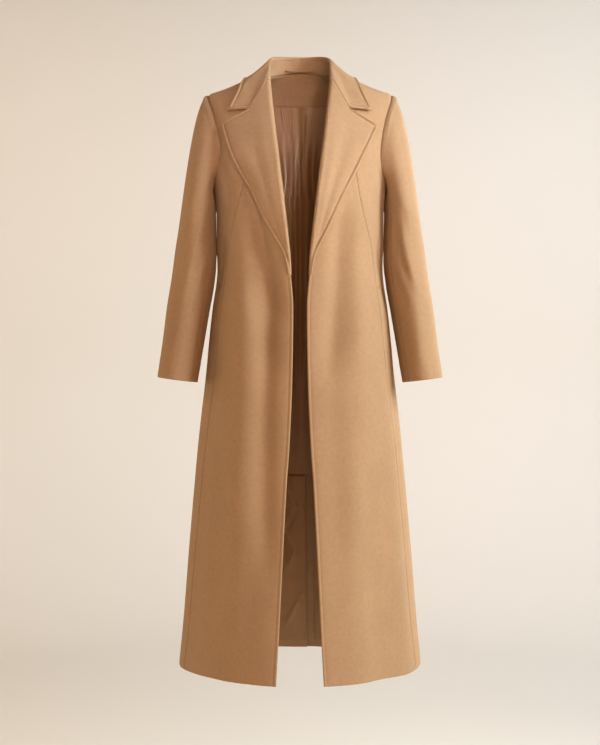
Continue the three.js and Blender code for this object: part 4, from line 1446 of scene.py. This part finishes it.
# Lights: name, place, what they are aimed at, width and height, watts, colour, spread in degrees.
LIGHTS = (
    ("Key", (2.46, -1.15, 0.72), (0, 0, -0.55), (1.2, 1.6), 146, (0.88, 0.97, 1.0), 180),
    ("Inside", (0.6, -2.16, 0.42), (0, 0.08, -0.17), (0.4, 0.4), 0.26, (0.8, 0.85, 1.0), 12),
    ("Fill_side", (-2.95, 0.2, -0.1), (0, 0, -0.45), (1.6, 2.0), 39, (1.0, 0.73, 0.47), 180),
    ("Fill_front", (0.52, -2.93, -0.13), (0, 0, -0.55), (1.6, 1.6), 47, (1.0, 0.51, 0.27), 180),
    ("Back", (1.9, 2.5, 0.5), (0, 0, -0.5), (1.4, 1.6), 30, (1.0, 0.96, 0.9), 100),
    ("Wall_left", (-1.7, 0.9, 2.2), (-1.2, 5.0, -1.1), (1.6, 1.2), 36, (1.0, 0.71, 0.49), 120),
    ("Wall_right", (1.7, 0.9, 2.2), (1.2, 5.0, -1.1), (1.6, 1.2), 75, (0.85, 0.89, 1.0), 120),
)


def make_backdrop(colour):
    """A round studio cove: a floor that curves up into a wall all the way round."""
    profile = [(r, FLOOR) for r in np.linspace(0.05, COVE_FLAT, 18)]
    for angle in np.linspace(0, 90, 20)[1:]:
        turn = math.radians(angle)
        profile.append((COVE_FLAT + COVE_TURN * math.sin(turn), FLOOR + COVE_TURN * (1 - math.cos(turn))))
    profile += [(COVE_FLAT + COVE_TURN, z) for z in np.linspace(FLOOR + COVE_TURN, COVE_TOP, 8)[1:]]
    around = COVE_POINTS
    turns = [2 * math.pi * k / around for k in range(around)]
    points = [(r * math.cos(turn), r * math.sin(turn), z) for r, z in profile for turn in turns]
    quads = []
    for row in range(0, (len(profile) - 1) * around, around):
        for k in range(around):
            following = (k + 1) % around
            quads.append((row + k, row + following, row + around + following, row + around + k))
    faces = [quad[::-1] for quad in quads] + [tuple(range(around))]
    mesh = bpy.data.meshes.new("Studio_cove")
    mesh.from_pydata(points, [], faces)
    shade_smooth(mesh)
    cove = add_object("Studio_cove", mesh)
    shader = Shader("Cove_paint")
    mesh.materials.append(shader.finish(Base_Color=(*colour, 1), Roughness=0.95, Specular_IOR_Level=0.1))


def area_light(name, place, aim, size, watts, colour, spread):
    lamp = bpy.data.lights.new(name, "AREA")
    lamp.shape, lamp.size, lamp.size_y = "RECTANGLE", size[0], size[1]
    lamp.energy, lamp.color = watts, colour
    lamp.spread = math.radians(spread)
    light = add_object(name, lamp)
    light.location = place
    light.rotation_euler = (Vector(aim) - Vector(place)).to_track_quat("-Z", "Y").to_euler()


def make_camera():
    camera = bpy.data.cameras.new("Camera")
    camera.sensor_width = SENSOR
    camera.lens = LENS
    eye = add_object("Camera", camera)
    eye.location = EYE
    eye.rotation_euler = (math.pi / 2, 0, 0)
    bpy.context.scene.camera = eye


def make_world(colour, strength):
    world = bpy.data.worlds.new("Studio_air")
    world.use_nodes = True
    sky = world.node_tree.nodes["Background"]
    sky.inputs["Color"].default_value = (*colour, 1)
    sky.inputs["Strength"].default_value = strength
    bpy.context.scene.world = world


# ---- Add-on ----
def colour_property(name, description, default):
    return bpy.props.FloatVectorProperty(
        name=name, description=description, default=default, subtype="COLOR", size=3, min=0, max=1
    )


def length_property(name, description, default):
    return bpy.props.FloatProperty(
        name=name, description=description, default=default, unit="LENGTH", subtype="DISTANCE", min=0.0001
    )


class CoatColours(bpy.types.PropertyGroup):
    wool: colour_property("Wool", "Colour of the coating", (0.33, 0.209, 0.115))
    satin: colour_property("Satin", "Colour of the lining", (0.276, 0.148, 0.057))
    thread: colour_property("Thread", "Colour of the sewing thread", (0.3, 0.175, 0.087))
    cove: colour_property("Cove", "Colour of the studio's floor and wall", (0.64, 0.62, 0.565))


class CoatSizes(bpy.types.PropertyGroup):
    stitch_length: length_property("Stitch length", "Length of one edge stitch that shows", 0.0026)
    stitch_spacing: length_property("Stitch spacing", "From one edge stitch to the next", 0.0036)
    thread_width: length_property("Thread width", "Thickness of the edge stitching's thread", 0.0006)


class COAT_OT_body(bpy.types.Operator):
    """Makes the fronts, the side fronts and the backs, from hem to shoulder"""

    bl_idname = "coat.body"
    bl_label = "Body panels"

    def execute(self, context):
        lines = []
        for name, side in SIDES:
            lines.append(make_front(name, side))
            make_side(name, side)
            make_back(name, side)
        edge_stitches("Front_edge_stitches", lines)
        return {"FINISHED"}


class COAT_OT_lapels(bpy.types.Operator):
    """Makes the two lapels, turned out over the chest"""

    bl_idname = "coat.lapels"
    bl_label = "Lapels"

    def execute(self, context):
        lines = [line for name, side in SIDES for line in make_lapel(name, side)]
        edge_stitches("Lapel_stitches", lines)
        return {"FINISHED"}


class COAT_OT_collar(bpy.types.Operator):
    """Makes the collar's stand and fall"""

    bl_idname = "coat.collar"
    bl_label = "Collar"

    def execute(self, context):
        make_stand()
        edge_stitches("Collar_stitches", make_fall())
        return {"FINISHED"}


class COAT_OT_sleeves(bpy.types.Operator):
    """Makes the two-piece sleeves"""

    bl_idname = "coat.sleeves"
    bl_label = "Sleeves"

    def execute(self, context):
        gap = SEAM / 2  # in degrees, which on a sleeve come to about as many millimetres
        for name, side in SIDES:
            make_sleeve(name, side, "top", SLEEVE_FRONT_SEAM - gap, SLEEVE_BACK_SEAM - 360 + gap)
            make_sleeve(name, side, "under", SLEEVE_BACK_SEAM - gap, SLEEVE_FRONT_SEAM + gap)
        return {"FINISHED"}


class COAT_OT_inside(bpy.types.Operator):
    """Makes what is inside the back: neck facing, linings and hanger loop"""

    bl_idname = "coat.inside"
    bl_label = "Facing, lining and loop"

    def execute(self, context):
        make_facing()
        make_lining_back()
        for name, side in SIDES:
            make_lining_skirt(name, side)
        make_loop()
        return {"FINISHED"}


class COAT_OT_tacks(bpy.types.Operator):
    """Sews the tacks at the pockets' ends"""

    bl_idname = "coat.tacks"
    bl_label = "Pocket tacks"

    def execute(self, context):
        make_stitches("Pocket_tacks", [tack_path(side) for _, side in SIDES], *TACK_STITCHES)
        return {"FINISHED"}


class COAT_OT_stage(bpy.types.Operator):
    """Makes the studio: cove, lights, air and camera"""

    bl_idname = "coat.stage"
    bl_label = "Studio"

    def execute(self, context):
        context.scene.view_settings.view_transform = "Standard"
        make_camera()
        make_backdrop(context.scene.coat_colours.cove)
        make_world(*AIR)
        for light in LIGHTS:
            area_light(*light)
        return {"FINISHED"}


OPERATORS = (
    COAT_OT_body,
    COAT_OT_lapels,
    COAT_OT_collar,
    COAT_OT_sleeves,
    COAT_OT_inside,
    COAT_OT_tacks,
    COAT_OT_stage,
)


class COAT_PT_panel(bpy.types.Panel):
    """Lists the coat's sizes, colours and steps"""

    bl_idname = "COAT_PT_panel"
    bl_label = "Long coat"
    bl_space_type = "VIEW_3D"
    bl_region_type = "UI"
    bl_category = "Coat"

    def draw(self, context):
        for group in (context.scene.coat_sizes, context.scene.coat_colours):
            for key in group.bl_rna.properties.keys():
                if key not in {"rna_type", "name"}:
                    self.layout.prop(group, key)
        for operator in OPERATORS:
            self.layout.operator(operator.bl_idname)


CLASSES = (CoatSizes, CoatColours, *OPERATORS, COAT_PT_panel)


def register():
    for one in CLASSES:
        bpy.utils.register_class(one)
    bpy.types.Scene.coat_sizes = bpy.props.PointerProperty(type=CoatSizes)
    bpy.types.Scene.coat_colours = bpy.props.PointerProperty(type=CoatColours)


def unregister():
    del bpy.types.Scene.coat_sizes
    del bpy.types.Scene.coat_colours
    for one in reversed(CLASSES):
        bpy.utils.unregister_class(one)


def main():
    register()
    bpy.ops.coat.body()
    bpy.ops.coat.lapels()
    bpy.ops.coat.collar()
    bpy.ops.coat.sleeves()
    bpy.ops.coat.inside()
    bpy.ops.coat.tacks()
    bpy.ops.coat.stage()


if __name__ == "__main__":
    main()
